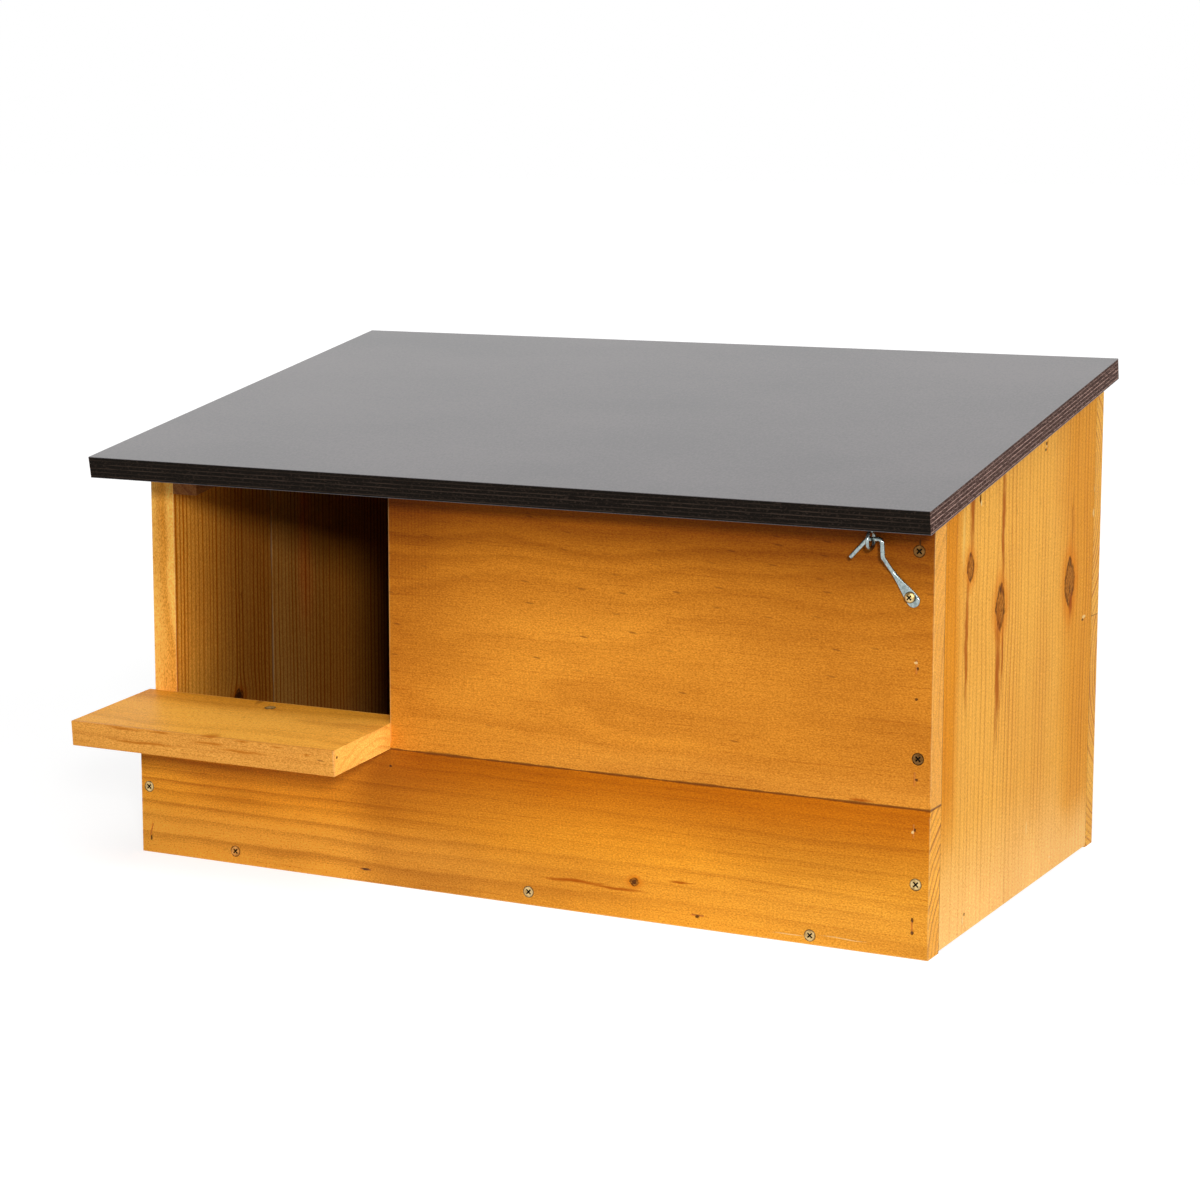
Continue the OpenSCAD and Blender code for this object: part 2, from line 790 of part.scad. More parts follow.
module left_side_staples() {
    color(zinc) at_side_staples(-1) staple_body();
}

module right_side_staples() {
    color(zinc) at_side_staples(1) staple_body();
}

lower_front_board();
upper_front_board();
landing_board();
left_side_front_board();
left_side_rear_board();
right_side_front_board();
right_side_rear_board();
lower_back_board();
upper_back_board();
floor_front_board();
floor_rear_board();
left_side_cleat();
right_side_cleat();
joint_batten();
roof_panel();
left_hinge_box_leaf();
left_hinge_roof_leaf();
left_hinge_pin();
right_hinge_box_leaf();
right_hinge_roof_leaf();
right_hinge_pin();
hinge_box_screws();
hinge_roof_screws();
latch_hook();
hook_screw();
screw_eye();
front_screws();
landing_board_screw();
back_screws();
batten_screws();
front_staples();
left_side_staples();
right_side_staples();
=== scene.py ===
# %% [markdown]
# # An owl nest box in honey-stained pine, under a film-faced plywood roof
# The box is a carcass of planed pine boards, screwed and stapled together and brushed with a honey-coloured
# wood stain. Its roof is dark film-faced plywood on two butt hinges, and a bent wire hook in a screw eye
# keeps the roof shut. The boards, hinges and screws come in as solids of true size. This lesson gives each
# of them the finish of the real one, and draws the hook and the eye again as the smooth wires that they
# are.

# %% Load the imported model
import math
import bpy
import numpy as np
from mathutils import Matrix, Vector


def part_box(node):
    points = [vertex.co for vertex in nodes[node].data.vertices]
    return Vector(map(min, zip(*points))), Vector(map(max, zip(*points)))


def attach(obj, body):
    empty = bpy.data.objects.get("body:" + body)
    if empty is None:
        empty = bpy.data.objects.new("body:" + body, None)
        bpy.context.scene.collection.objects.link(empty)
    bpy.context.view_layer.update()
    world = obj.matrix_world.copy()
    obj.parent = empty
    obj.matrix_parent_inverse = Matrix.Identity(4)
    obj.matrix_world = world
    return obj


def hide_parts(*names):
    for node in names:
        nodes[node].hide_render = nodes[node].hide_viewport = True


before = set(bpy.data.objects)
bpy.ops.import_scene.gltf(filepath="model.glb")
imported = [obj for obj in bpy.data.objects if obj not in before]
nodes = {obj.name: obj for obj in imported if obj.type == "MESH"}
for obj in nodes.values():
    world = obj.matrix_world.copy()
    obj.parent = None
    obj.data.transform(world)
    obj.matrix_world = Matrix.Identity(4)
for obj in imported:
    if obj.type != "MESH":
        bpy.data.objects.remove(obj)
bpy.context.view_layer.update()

# %% [markdown]
# ## Camera
# The photograph was taken from the right, a little above the box, with a long lens: the edges of the box
# hardly converge. A camera could be moved by hand until the picture looks right, but each board would then
# be a little off. A fit of the box's corners to the picture gave the place of the lens, the angles and the
# focal length instead. The picture's optical centre lies a little above its middle, so the camera has a
# small shift.

# %% Camera
MM = 0.001
LENS_PLACE = (0.8920, -1.7695, 0.5067)
TURN, TILT, ROLL = math.radians(26.93), math.radians(8.46), math.radians(0.12)
FOCAL_LENGTH, SENSOR_WIDTH = 84.12, 36
PICTURE_SHIFT = (-0.01084, -0.0355)
scene = bpy.context.scene
ahead = Vector((-math.sin(TURN) * math.cos(TILT), math.cos(TURN) * math.cos(TILT), -math.sin(TILT)))
level = Vector((math.cos(TURN), math.sin(TURN), 0))
upward = level.cross(ahead)
right = level * math.cos(ROLL) + upward * math.sin(ROLL)
up = upward * math.cos(ROLL) - level * math.sin(ROLL)
lens = bpy.data.cameras.new("camera")
lens.lens, lens.sensor_width = FOCAL_LENGTH, SENSOR_WIDTH
lens.shift_x, lens.shift_y = PICTURE_SHIFT
lens.clip_start, lens.clip_end = 0.05, 60
camera = bpy.data.objects.new("camera", lens)
facing = Matrix((right, up, -ahead)).transposed().to_4x4()
camera.matrix_world = Matrix.Translation(LENS_PLACE) @ facing
scene.collection.objects.link(camera)
scene.camera = camera
scene.view_settings.view_transform = "Standard"
print("camera", [round(v, 3) for v in camera.location])

# %% [markdown]
# ## Small tools for materials
# A material is a graph of nodes. Writing each node and link out by hand takes many lines, so these helpers
# add one node, set its plain numbers, and link whatever is a socket. A group is built once and then placed
# in every material that shows the same effect, with its own numbers.

# %% Helpers that add nodes
def plug(tree, socket, value):
    """Links a socket to an input, or writes a plain value in it."""
    if isinstance(value, bpy.types.NodeSocket):
        tree.links.new(value, socket)
    elif isinstance(value, (tuple, list)) and len(value) == 3 and socket.type == "RGBA":
        socket.default_value = (*value, 1)
    else:
        socket.default_value = value


def add_node(tree, kind, settings=None, **inputs):
    """Adds a node. Settings are its properties, and inputs are numbers or sockets by name."""
    made = tree.nodes.new(kind)
    for name, value in (settings or {}).items():
        setattr(made, name, value)
    for name, value in inputs.items():
        plug(tree, made.inputs[name.replace("_", " ")], value)
    return made


def calc(tree, operation, *values, clamp=False):
    """One Math node on one to three values, and its result."""
    made = add_node(tree, "ShaderNodeMath", {"operation": operation, "use_clamp": clamp})
    for socket, value in zip(made.inputs, values):
        plug(tree, socket, value)
    return made.outputs[0]


def vector_calc(tree, operation, *values):
    """One Vector Math node, and its vector, or its number where it measures a length."""
    made = add_node(tree, "ShaderNodeVectorMath", {"operation": operation})
    for socket, value in zip(made.inputs, values):
        plug(tree, socket, value)
    return made.outputs["Value" if operation in ("LENGTH", "DOT_PRODUCT") else "Vector"]


def scaled(tree, vector, factor):
    """A vector times one number, which may be a socket."""
    made = add_node(tree, "ShaderNodeVectorMath", {"operation": "SCALE"}, Vector=vector, Scale=factor)
    return made.outputs[0]


def split(tree, vector):
    """The three numbers of a vector."""
    return add_node(tree, "ShaderNodeSeparateXYZ", Vector=vector).outputs


def joined(tree, **numbers):
    """A vector from its numbers X, Y and Z. One that isn't given is 0."""
    return add_node(tree, "ShaderNodeCombineXYZ", **numbers).outputs[0]


def ramp(tree, value, low, high, start=0.0, end=1.0):
    """A smooth step from start, at low, to end, at high. It falls where low is above high."""
    made = add_node(tree, "ShaderNodeMapRange", {"interpolation_type": "SMOOTHSTEP"}, Value=value)
    for name, number in (("From Min", low), ("From Max", high), ("To Min", start), ("To Max", end)):
        plug(tree, made.inputs[name], number)
    return made.outputs[0]


def blend_colour(tree, factor, first, second, way="MIX"):
    """Mixes two colours by a factor from 0 to 1."""
    made = add_node(tree, "ShaderNodeMix", {"data_type": "RGBA", "blend_type": way})
    for socket, value in ((0, factor), (6, first), (7, second)):
        plug(tree, made.inputs[socket], value)
    return made.outputs[2]


def noise(tree, vector, stretch, detail=2.0, rough=0.5, output="Fac"):
    """Noise of mean 0.5. A small factor in stretch draws it out along that axis."""
    place = vector_calc(tree, "MULTIPLY", vector, stretch)
    made = add_node(tree, "ShaderNodeTexNoise", Vector=place, Scale=1.0, Detail=detail, Roughness=rough)
    return made.outputs[output]


def new_group(name, inputs, outputs):
    """A shader node group with named sockets: the tree, what it is given, and where it puts its results."""
    tree = bpy.data.node_groups.new(name, "ShaderNodeTree")
    kinds = {"number": "NodeSocketFloat", "colour": "NodeSocketColor", "vector": "NodeSocketVector"}
    for way, sockets in (("INPUT", inputs), ("OUTPUT", outputs)):
        for kind, names in sockets.items():
            for socket in names:
                tree.interface.new_socket(socket, in_out=way, socket_type=kinds[kind])
    given = tree.nodes.new("NodeGroupInput").outputs
    gives = tree.nodes.new("NodeGroupOutput").inputs
    return tree, given, gives


def use_group(tree, group, **inputs):
    """Places a group in a material or another group, and gives its outputs."""
    made = add_node(tree, "ShaderNodeGroup", {"node_tree": group})
    for name, value in inputs.items():
        plug(tree, made.inputs[name.replace("_", " ")], value)
    return made.outputs


def new_material(name):
    """A material with a Principled shader: the material, its tree and the shader."""
    made = bpy.data.materials.new(name)
    made.use_nodes = True
    return made, made.node_tree, made.node_tree.nodes["Principled BSDF"]


def millimetres(tree):
    """Object coordinates in millimetres. They are the coordinates of the whole box, on every solid."""
    place = tree.nodes.new("ShaderNodeTexCoord").outputs["Object"]
    return scaled(tree, place, 1 / MM)


def relief(tree, shader, height, depth_mm):
    """Feeds a height from 0 to 1, which stands for depth_mm, to the shader's normal."""
    made = add_node(tree, "ShaderNodeBump", Height=height, Distance=depth_mm * MM)
    plug(tree, shader.inputs["Normal"], made.outputs[0])


def seen(red, green, blue):
    """Turns a colour as a screen shows it, 0 to 255, into the linear colour that a shader works in."""
    part = np.array((red, green, blue)) / 255
    linear = np.where(part <= 0.04045, part / 12.92, ((part + 0.055) / 1.055) ** 2.4)
    return tuple(float(v) for v in linear)


print("a honey of 228, 156, 64 on screen is", [round(v, 3) for v in seen(228, 156, 64)])

# %% [markdown]
# ## Pine
# A trunk grows a ring a year: pale early wood that darkens to a thin band of late wood, then starts again
# at a sharp edge. Stretched noise on each face would look like grain, but it would break off at every edge.
# A board is a slice of a trunk, so this group works out the rings in depth: the distance from the pith, the
# trunk's middle line, sets where in a ring a point lies. The face then shows long lines or arches, and the
# end shows arcs, and they meet at the edges as they do on real wood. The x axis runs along the grain.

# %% Growth rings
RIPPLE_SHARE = 0.12


def make_growth_rings():
    """Rings = distance from the pith / ring width + slow noise. Late wood is the last share of each ring."""
    tree, given, gives = new_group(
        "growth rings",
        {"vector": ["Place"], "number": ["Ring Width", "Wander", "Late Share", "Seed"]},
        {"number": ["Late", "Fibre"]},
    )
    place = vector_calc(tree, "ADD", given["Place"], scaled(tree, (17, 31, 47), given["Seed"]))
    sway = noise(tree, place, (0.0035, 0.012, 0.012), 2, 0.5, "Color")
    ripple = noise(tree, place, (0.02, 0.05, 0.05), 1, 0.5, "Color")
    sway = vector_calc(tree, "ADD", sway, scaled(tree, ripple, RIPPLE_SHARE))
    mean = (0.5 + 0.5 * RIPPLE_SHARE,) * 3
    sway = scaled(tree, vector_calc(tree, "SUBTRACT", sway, mean), given["Wander"])
    across = vector_calc(tree, "MULTIPLY", vector_calc(tree, "ADD", given["Place"], sway), (0, 1, 1))
    radius = vector_calc(tree, "LENGTH", across)
    turns = calc(tree, "DIVIDE", radius, given["Ring Width"])
    years = joined(tree, X=turns, Y=given["Seed"])
    count = calc(tree, "MULTIPLY_ADD", noise(tree, years, (0.35, 5, 1), 1), 1.2, turns)
    part = calc(tree, "FRACT", count)
    start = calc(tree, "SUBTRACT", 0.9, given["Late Share"])
    rise = ramp(tree, part, start, 0.9)
    fall = ramp(tree, part, calc(tree, "MULTIPLY_ADD", given["Late Share"], -0.3, 1.0), 1.0, 1.0, 0.0)
    year = add_node(tree, "ShaderNodeTexWhiteNoise", {"noise_dimensions": "1D"}, W=calc(tree, "FLOOR", count))
    strength = calc(tree, "MULTIPLY_ADD", year.outputs["Value"], 0.65, 0.35)
    patchy = ramp(tree, noise(tree, place, (0.004, 0.015, 0.015), 1), 0.25, 0.75, 0.5, 1.0)
    strength = calc(tree, "MULTIPLY", strength, patchy)
    plug(tree, gives["Late"], calc(tree, "MULTIPLY", calc(tree, "MULTIPLY", rise, fall), strength))
    plug(tree, gives["Fibre"], noise(tree, place, (0.03, 0.9, 0.9), 3, 0.6))
    return tree


growth_rings = make_growth_rings()
print("growth rings:", len(growth_rings.nodes), "nodes")

# %% [markdown]
# A brushed stain sinks in more where the wood is soft, and it pools in the fibres, so it is never even. One
# colour ramp over the rings would look printed. This group lays several effects over them: a pale and a dark
# honey colour by late wood, slow clouds, thin dark fibres, and short dark dashes where resin canals come to
# the face. Where stained wood is darker it is also redder, so the shade takes least from red and most from
# blue. It also gives the sheen and the relief.

# %% Stained pine
GRIT = 1.6
LEAST_SHARE = 0.12
DASH_BROWN = seen(150, 84, 26)
RED_POWER, BLUE_POWER = 0.65, 1.5
DASH_CELLS = (0.028, 0.085, 0.085)
DASH_SLANT, DASH_SHORT, DASH_THIN = 0.3, 8, 15


def make_stained_pine():
    """Colour = early to late by rings and clouds, times the fibres' shade. Late wood stands proud."""
    tree, given, gives = new_group(
        "stained pine",
        {
            "vector": ["Place", "Pith", "Push"],
            "number": ["Ring Width", "Wander", "Late Share", "Seed", "Contrast", "Cloud", "Dashes"],
            "colour": ["Early", "Late"],
        },
        {"colour": ["Colour"], "number": ["Roughness", "Height"]},
    )
    from_pith = vector_calc(tree, "SUBTRACT", given["Place"], given["Pith"])
    from_pith = vector_calc(tree, "ADD", from_pith, given["Push"])
    rings = use_group(
        tree, growth_rings, Place=from_pith, Ring_Width=given["Ring Width"], Wander=given["Wander"],
        Late_Share=given["Late Share"], Seed=given["Seed"],
    )
    place = vector_calc(tree, "ADD", given["Place"], scaled(tree, (31, 17, 53), given["Seed"]))
    cloud = noise(tree, place, (0.007, 0.022, 0.022), 3, 0.55)
    cloud = calc(tree, "MULTIPLY", calc(tree, "SUBTRACT", cloud, 0.5), given["Cloud"])
    share = calc(tree, "MULTIPLY", rings["Late"], given["Contrast"])
    share = calc(tree, "ADD", calc(tree, "ADD", share, cloud), LEAST_SHARE, clamp=True)
    colour = blend_colour(tree, share, given["Early"], given["Late"])
    lines = ramp(tree, noise(tree, place, (0.01, 0.9, 0.9), 2, 0.6), 0.54, 0.74)
    pores = ramp(tree, noise(tree, place, (0.08, 1.0, 1.0), 1, 0.5), 0.6, 0.76)
    pores = calc(tree, "MULTIPLY", pores, calc(tree, "MULTIPLY_ADD", rings["Late"], 0.9, 0.6))
    speck = noise(tree, place, (0.45, 1.0, 1.0), 3, 0.75)
    shade = calc(tree, "MULTIPLY_ADD", rings["Fibre"], 0.30, 0.79)
    shade = calc(tree, "MULTIPLY_ADD", speck, 0.16, shade)
    shade = calc(tree, "SUBTRACT", shade, calc(tree, "MULTIPLY", lines, 0.15))
    shade = calc(tree, "SUBTRACT", shade, calc(tree, "MULTIPLY", pores, 0.2))
    grit = noise(tree, place, (0.7, 1.3, 1.3), 2, 0.6)
    shade = calc(tree, "MULTIPLY_ADD", calc(tree, "SUBTRACT", grit, 0.5), GRIT, shade)
    cells = vector_calc(tree, "MULTIPLY", place, DASH_CELLS)
    cell = add_node(tree, "ShaderNodeTexVoronoi", {"voronoi_dimensions": "2D"}, Vector=cells, Scale=1.0)
    away = split(tree, vector_calc(tree, "SUBTRACT", cells, cell.outputs["Position"]))
    tilted = calc(tree, "MULTIPLY_ADD", away[0], DASH_SLANT, away[1])
    short, thin = calc(tree, "MULTIPLY", away[0], DASH_SHORT), calc(tree, "MULTIPLY", tilted, DASH_THIN)
    narrow = vector_calc(tree, "LENGTH", joined(tree, X=short, Y=thin))
    chosen = add_node(tree, "ShaderNodeSeparateColor", Color=cell.outputs["Color"]).outputs[0]
    chosen = ramp(tree, chosen, calc(tree, "SUBTRACT", 1.0, given["Dashes"]), 1.0)
    dash = calc(tree, "MULTIPLY", ramp(tree, narrow, 1.0, 0.3), chosen)
    warm = add_node(tree, "ShaderNodeCombineColor", Red=calc(tree, "POWER", shade, RED_POWER), Green=shade,
                    Blue=calc(tree, "POWER", shade, BLUE_POWER)).outputs[0]
    colour = blend_colour(tree, 1.0, colour, warm, "MULTIPLY")
    plug(tree, gives["Colour"], blend_colour(tree, calc(tree, "MULTIPLY", dash, 0.75), colour, DASH_BROWN))
    plug(tree, gives["Roughness"], calc(tree, "MULTIPLY_ADD", rings["Fibre"], 0.24, 0.34))
    height = calc(tree, "MULTIPLY_ADD", rings["Late"], 0.4, calc(tree, "MULTIPLY", rings["Fibre"], 0.6))
    plug(tree, gives["Height"], calc(tree, "SUBTRACT", height, calc(tree, "MULTIPLY", lines, 0.3)))
    return tree


stained_pine = make_stained_pine()
print("stained pine:", len(stained_pine.nodes), "nodes")

# %% [markdown]
# A knot is a branch that the trunk grew round. On the face it is a dark lens, longer along the grain, with
# a mottled core and a darker rim. A dark oval laid over straight grain would look like a stain. The grain
# swells round a real knot, so a second group gives a push: how far the rings' coordinates are bent away
# from the knot's middle line. The third group draws a mark, such as a streak of dark resin, a chip or a
# nail's pit.

# %% Knots
KNOT_BROWN, KNOT_PALE, KNOT_RIM = seen(112, 54, 4), seen(204, 134, 48), seen(44, 14, 0)
RESIN = seen(222, 118, 8)
LENS_POWER = 1.4


def make_knot_swell():
    """Push = side / (|side| + 0.6) x exp(-(0.42 along)^2 - (0.28 side)^2) x swell, away from the middle."""
    tree, given, gives = new_group(
        "knot swell",
        {"vector": ["Place", "Centre"], "number": ["Half Length", "Half Width", "Swell"]},
        {"vector": ["Push"]},
    )
    parts = split(tree, vector_calc(tree, "SUBTRACT", given["Place"], given["Centre"]))
    along = calc(tree, "DIVIDE", parts[0], given["Half Length"])
    side = calc(tree, "DIVIDE", parts[1], given["Half Width"])
    fade = calc(tree, "ADD", calc(tree, "POWER", calc(tree, "MULTIPLY", along, 0.42), 2),
                calc(tree, "POWER", calc(tree, "MULTIPLY", side, 0.28), 2))
    fade = calc(tree, "EXPONENT", calc(tree, "MULTIPLY", fade, -1))
    side_sign = calc(tree, "DIVIDE", side, calc(tree, "ADD", calc(tree, "ABSOLUTE", side), 0.6))
    push = calc(tree, "MULTIPLY", calc(tree, "MULTIPLY", side_sign, fade), given["Swell"])
    plug(tree, gives["Push"], joined(tree, Y=calc(tree, "MULTIPLY", push, -1)))
    return tree


def make_knot():
    """Reach = (|along / half length|^1.4 + |across / half width|^1.4)^(1 / 1.4), a lens with pointed ends.
    The rim is where reach is 1."""
    tree, given, gives = new_group(
        "knot",
        {"vector": ["Place", "Centre"], "number": ["Half Length", "Half Width"], "colour": ["Around"]},
        {"colour": ["Colour"], "number": ["Hollow"]},
    )
    ragged = noise(tree, given["Place"], (0.16, 0.32, 0.32), 3, 0.65, "Color")
    ragged = vector_calc(tree, "SUBTRACT", ragged, (0.5,) * 3)
    away = vector_calc(tree, "SUBTRACT", given["Place"], given["Centre"])
    shift = calc(tree, "MULTIPLY", given["Half Width"], 0.9)
    away = vector_calc(tree, "ADD", away, scaled(tree, ragged, shift))
    parts = split(tree, away)
    powers = []
    for part, half in ((parts[0], "Half Length"), (parts[1], "Half Width")):
        ratio = calc(tree, "ABSOLUTE", calc(tree, "DIVIDE", part, given[half]))
        powers.append(calc(tree, "POWER", ratio, LENS_POWER))
    reach = calc(tree, "POWER", calc(tree, "ADD", *powers), 1 / LENS_POWER)
    mottle = ramp(tree, noise(tree, given["Place"], (0.4, 0.9, 0.9), 3, 0.7), 0.4, 0.62)
    core = blend_colour(tree, mottle, KNOT_BROWN, KNOT_PALE)
    patchy = ramp(tree, noise(tree, given["Place"], (0.12, 0.3, 0.3), 2, 0.6), 0.35, 0.65, 0.35, 1.0)
    rim = calc(tree, "MULTIPLY", ramp(tree, reach, 0.65, 0.92), ramp(tree, reach, 1.18, 1.0))
    rim = calc(tree, "MULTIPLY", rim, patchy)
    colour = blend_colour(tree, ramp(tree, reach, 2.5, 0.9, 0.0, 0.6), given["Around"], RESIN)
    colour = blend_colour(tree, ramp(tree, reach, 1.1, 0.8, 0.0, 0.85), colour, core)
    plug(tree, gives["Colour"], blend_colour(tree, calc(tree, "MULTIPLY", rim, 0.95), colour, KNOT_RIM))
    plug(tree, gives["Hollow"], calc(tree, "MULTIPLY", rim, 0.5))
    return tree


def make_mark():
    """Reach = length of (along / half length, across / half width, through / half depth) + ragged noise.
    The mask is 1 inside it. Soft is 0 for a crisp edge, and 1 for a streak that fades."""
    measures = ["Half Length", "Half Width", "Half Depth"]
    tree, given, gives = new_group(
        "ragged mark",
        {"vector": ["Place", "Centre"], "number": measures + ["Soft", "Bend", "Ragged"]},
        {"number": ["Mask"]},
    )
    size = joined(tree, **{letter: given[measure] for letter, measure in zip("XYZ", measures)})
    bend = calc(tree, "MULTIPLY", given["Bend"], calc(tree, "MULTIPLY", given["Half Length"], 0.14))
    away = vector_calc(tree, "SUBTRACT", given["Place"], given["Centre"])
    away = vector_calc(tree, "ADD", away, joined(tree, Y=bend))
    reach = vector_calc(tree, "LENGTH", vector_calc(tree, "DIVIDE", away, size))
    reach = calc(tree, "ADD", reach, given["Ragged"])
    outer_edge = calc(tree, "MULTIPLY_ADD", given["Soft"], 0.25, 1.1)
    inner_edge = calc(tree, "MULTIPLY_ADD", given["Soft"], -0.45, 0.7)
    plug(tree, gives["Mask"], ramp(tree, reach, outer_edge, inner_edge))
    return tree


knot_swell, knot, ragged_mark = make_knot_swell(), make_knot(), make_mark()
print("knot:", len(knot.nodes), "nodes, mark:", len(ragged_mark.nodes), "nodes")

# %% [markdown]
# Handling rounds a board's arrises and rubs the stain thin there, and a rounded arris catches a highlight. A
# bevel would show both, but it would change the boards' meshes, so the group works from the place alone: the
# pale line it draws is partly rubbed wear and partly a painted highlight. The distance to the nearest edge
# follows from the board's own box: a point on a face touches one pair of its planes, and the next nearest
# plane is the edge. Where two boards meet, dirt and stain gather in the joint, so a second group draws a
# thin, uneven dark line along a plane.

# %% Rubbed edges and painted edge highlights
def make_edge_rub_and_highlight():
    """Distance to an edge = the second smallest of the three distances to the box's planes."""
    tree, given, gives = new_group(
        "rubbed edge and highlight", {"vector": ["Place", "Low", "High"], "number": ["Width"]}, {"number": ["Mask"]}
    )
    below = vector_calc(tree, "SUBTRACT", given["Place"], given["Low"])
    above = vector_calc(tree, "SUBTRACT", given["High"], given["Place"])
    gap = vector_calc(tree, "ABSOLUTE", vector_calc(tree, "MINIMUM", below, above))
    x, y, z = split(tree, gap)
    least = calc(tree, "MINIMUM", x, y)
    most = calc(tree, "MAXIMUM", x, y)
    second = calc(tree, "MAXIMUM", least, calc(tree, "MINIMUM", most, z))
    ragged = calc(tree, "MULTIPLY", noise(tree, given["Place"], (0.06, 0.06, 0.06), 3, 0.65), given["Width"])
    plug(tree, gives["Mask"], ramp(tree, second, calc(tree, "MULTIPLY", ragged, 2.2), 0.0))
    return tree


def make_joint_line():
    """Distance to a plane = |place along its axis - offset|, and the line's width wanders with noise.
    A face that lies in the plane itself stays clean."""
    tree, given, gives = new_group(
        "joint line",
        {"vector": ["Place", "Axis"], "number": ["Offset", "Width"]},
        {"number": ["Mask", "Near"]},
    )
    along = vector_calc(tree, "DOT_PRODUCT", given["Place"], given["Axis"])
    gap = calc(tree, "ABSOLUTE", calc(tree, "SUBTRACT", along, given["Offset"]))
    uneven = calc(tree, "MULTIPLY_ADD", noise(tree, given["Place"], (0.03, 0.03, 0.03), 3, 0.7), 3.4, -0.9)
    uneven = calc(tree, "MAXIMUM", uneven, 0.1)
    reach = calc(tree, "MULTIPLY", uneven, given["Width"])
    line = ramp(tree, gap, reach, calc(tree, "MULTIPLY", reach, 0.2))
    plug(tree, gives["Mask"], calc(tree, "MULTIPLY", line, calc(tree, "GREATER_THAN", gap, 0.01)))
    plug(tree, gives["Near"], ramp(tree, gap, 6, 3))
    return tree


edge_rub_and_highlight = make_edge_rub_and_highlight()
joint_line = make_joint_line()
print("rubbed edge and highlight:", len(edge_rub_and_highlight.nodes), "nodes, joint line:", len(joint_line.nodes), "nodes")

# %% [markdown]
# ## One function for every board
# Fourteen boards could each get a graph drawn by hand, but they are all pine under the same stain. So one
# function makes every board's material, and the boards differ in what it is given: the way the grain runs,
# where the pith lay, the ring width, two stain colours, and knots and marks. Places are in millimetres, as
# x along the grain, y across the face and z through it. The stain isn't even over a whole board, so each
# board may also get washes: a mask, and a tint that multiplies the colour there. Inside the box every board
# is painted darker and browner as painted shade, and less so near the entrance, as painted light.

# %% Board materials
GRAIN = {"length": (0, 2, 1), "height": (2, 1, 0), "depth": (1, 0, 2), "flat length": (0, 1, 2)}
PALE_FIBRE_AND_HIGHLIGHT, DARK_PIT, JOINT_DIRT = seen(250, 218, 150), seen(84, 46, 16), seen(106, 52, 12)
MARKS = {
    "chip": (PALE_FIBRE_AND_HIGHLIGHT, 0.85, 0.0), "pit": (DARK_PIT, 0.9, 0.0), "scratch": (PALE_FIBRE_AND_HIGHLIGHT, 0.6, 0.4),
    "streak": (seen(168, 76, 0), 0.85, 1.0), "faint": (seen(190, 106, 12), 0.75, 1.0),
    "resin": (seen(250, 206, 112), 0.6, 0.7),
}
# Tints for faces inside the box: painted shade, lighter near the entrance as painted light, and darkest on
# the back boards and the floor.
INSIDE_SHADE, ENTRANCE_LIGHT, DEEP_SHADE = (0.42, 0.31, 0.34), (0.98, 0.86, 1.0), (0.26, 0.17, 0.14)
SIDE_INNER_FACE, FRONT_INNER_FACE, BACK_INNER_FACE = 281, -150, 153
ENDLESS = 1e6
MARK_DEPTH, WOOD_RELIEF = 0.9, 0.25
RUB_AND_HIGHLIGHT_WIDTH, RUB_AND_HIGHLIGHT_SHARE, SEAM_SHARE = 1.1, 0.2, 0.85


def inside_mask(tree, parts):
    """1 on faces that look into the box, which lie on its inner planes or between them."""
    across = ramp(tree, calc(tree, "ABSOLUTE", parts[0]), SIDE_INNER_FACE + 0.3, SIDE_INNER_FACE + 0.1)
    front = ramp(tree, parts[1], FRONT_INNER_FACE - 0.3, FRONT_INNER_FACE - 0.1)
    back = ramp(tree, parts[1], BACK_INNER_FACE + 0.3, BACK_INNER_FACE + 0.1)
    return calc(tree, "MULTIPLY", across, calc(tree, "MULTIPLY", front, back))


def grain_place(tree, grain):
    """Millimetres three ways: the whole vector, its numbers, and the vector turned to run with the grain."""
    whole = millimetres(tree)
    parts = split(tree, whole)
    turned = joined(tree, **{letter: parts[axis] for letter, axis in zip("XYZ", GRAIN[grain])})
    return whole, parts, turned


def add_marks(tree, place, colour, height, marks, allowed=None):
    """Lays marks over a colour and sinks the crisp ones. A mark is its kind, along, across, half length and
    half width, and where it isn't as deep as the board, also its place and half size through the board."""
    if not marks:
        return colour, height
    bend = calc(tree, "SUBTRACT", noise(tree, place, (0.045, 0, 0), 1), 0.5)
    crisp, faded = (calc(tree, "MULTIPLY_ADD", noise(tree, place, stretch, 2, 0.6), 1.3, -0.65)
                    for stretch in ((2.0, 1.1, 0.0), (0.08, 0.4, 0.0)))
    for kind, along, across, half_length, half_width, *through in marks:
        tint, strength, soft = MARKS[kind]
        middle, half_depth = through or (0, ENDLESS)
        mask = use_group(tree, ragged_mark, Place=place, Centre=(along, across, middle), Soft=soft, Bend=bend,
                         Half_Length=half_length, Half_Width=half_width, Half_Depth=half_depth,
                         Ragged=crisp if soft < 0.5 else faded)["Mask"]
        mask = calc(tree, "MULTIPLY", mask, allowed) if allowed else mask
        colour = blend_colour(tree, calc(tree, "MULTIPLY", mask, strength), colour, tint)
        height = calc(tree, "SUBTRACT", height, calc(tree, "MULTIPLY", mask, MARK_DEPTH * (1 - soft)))
    return colour, height


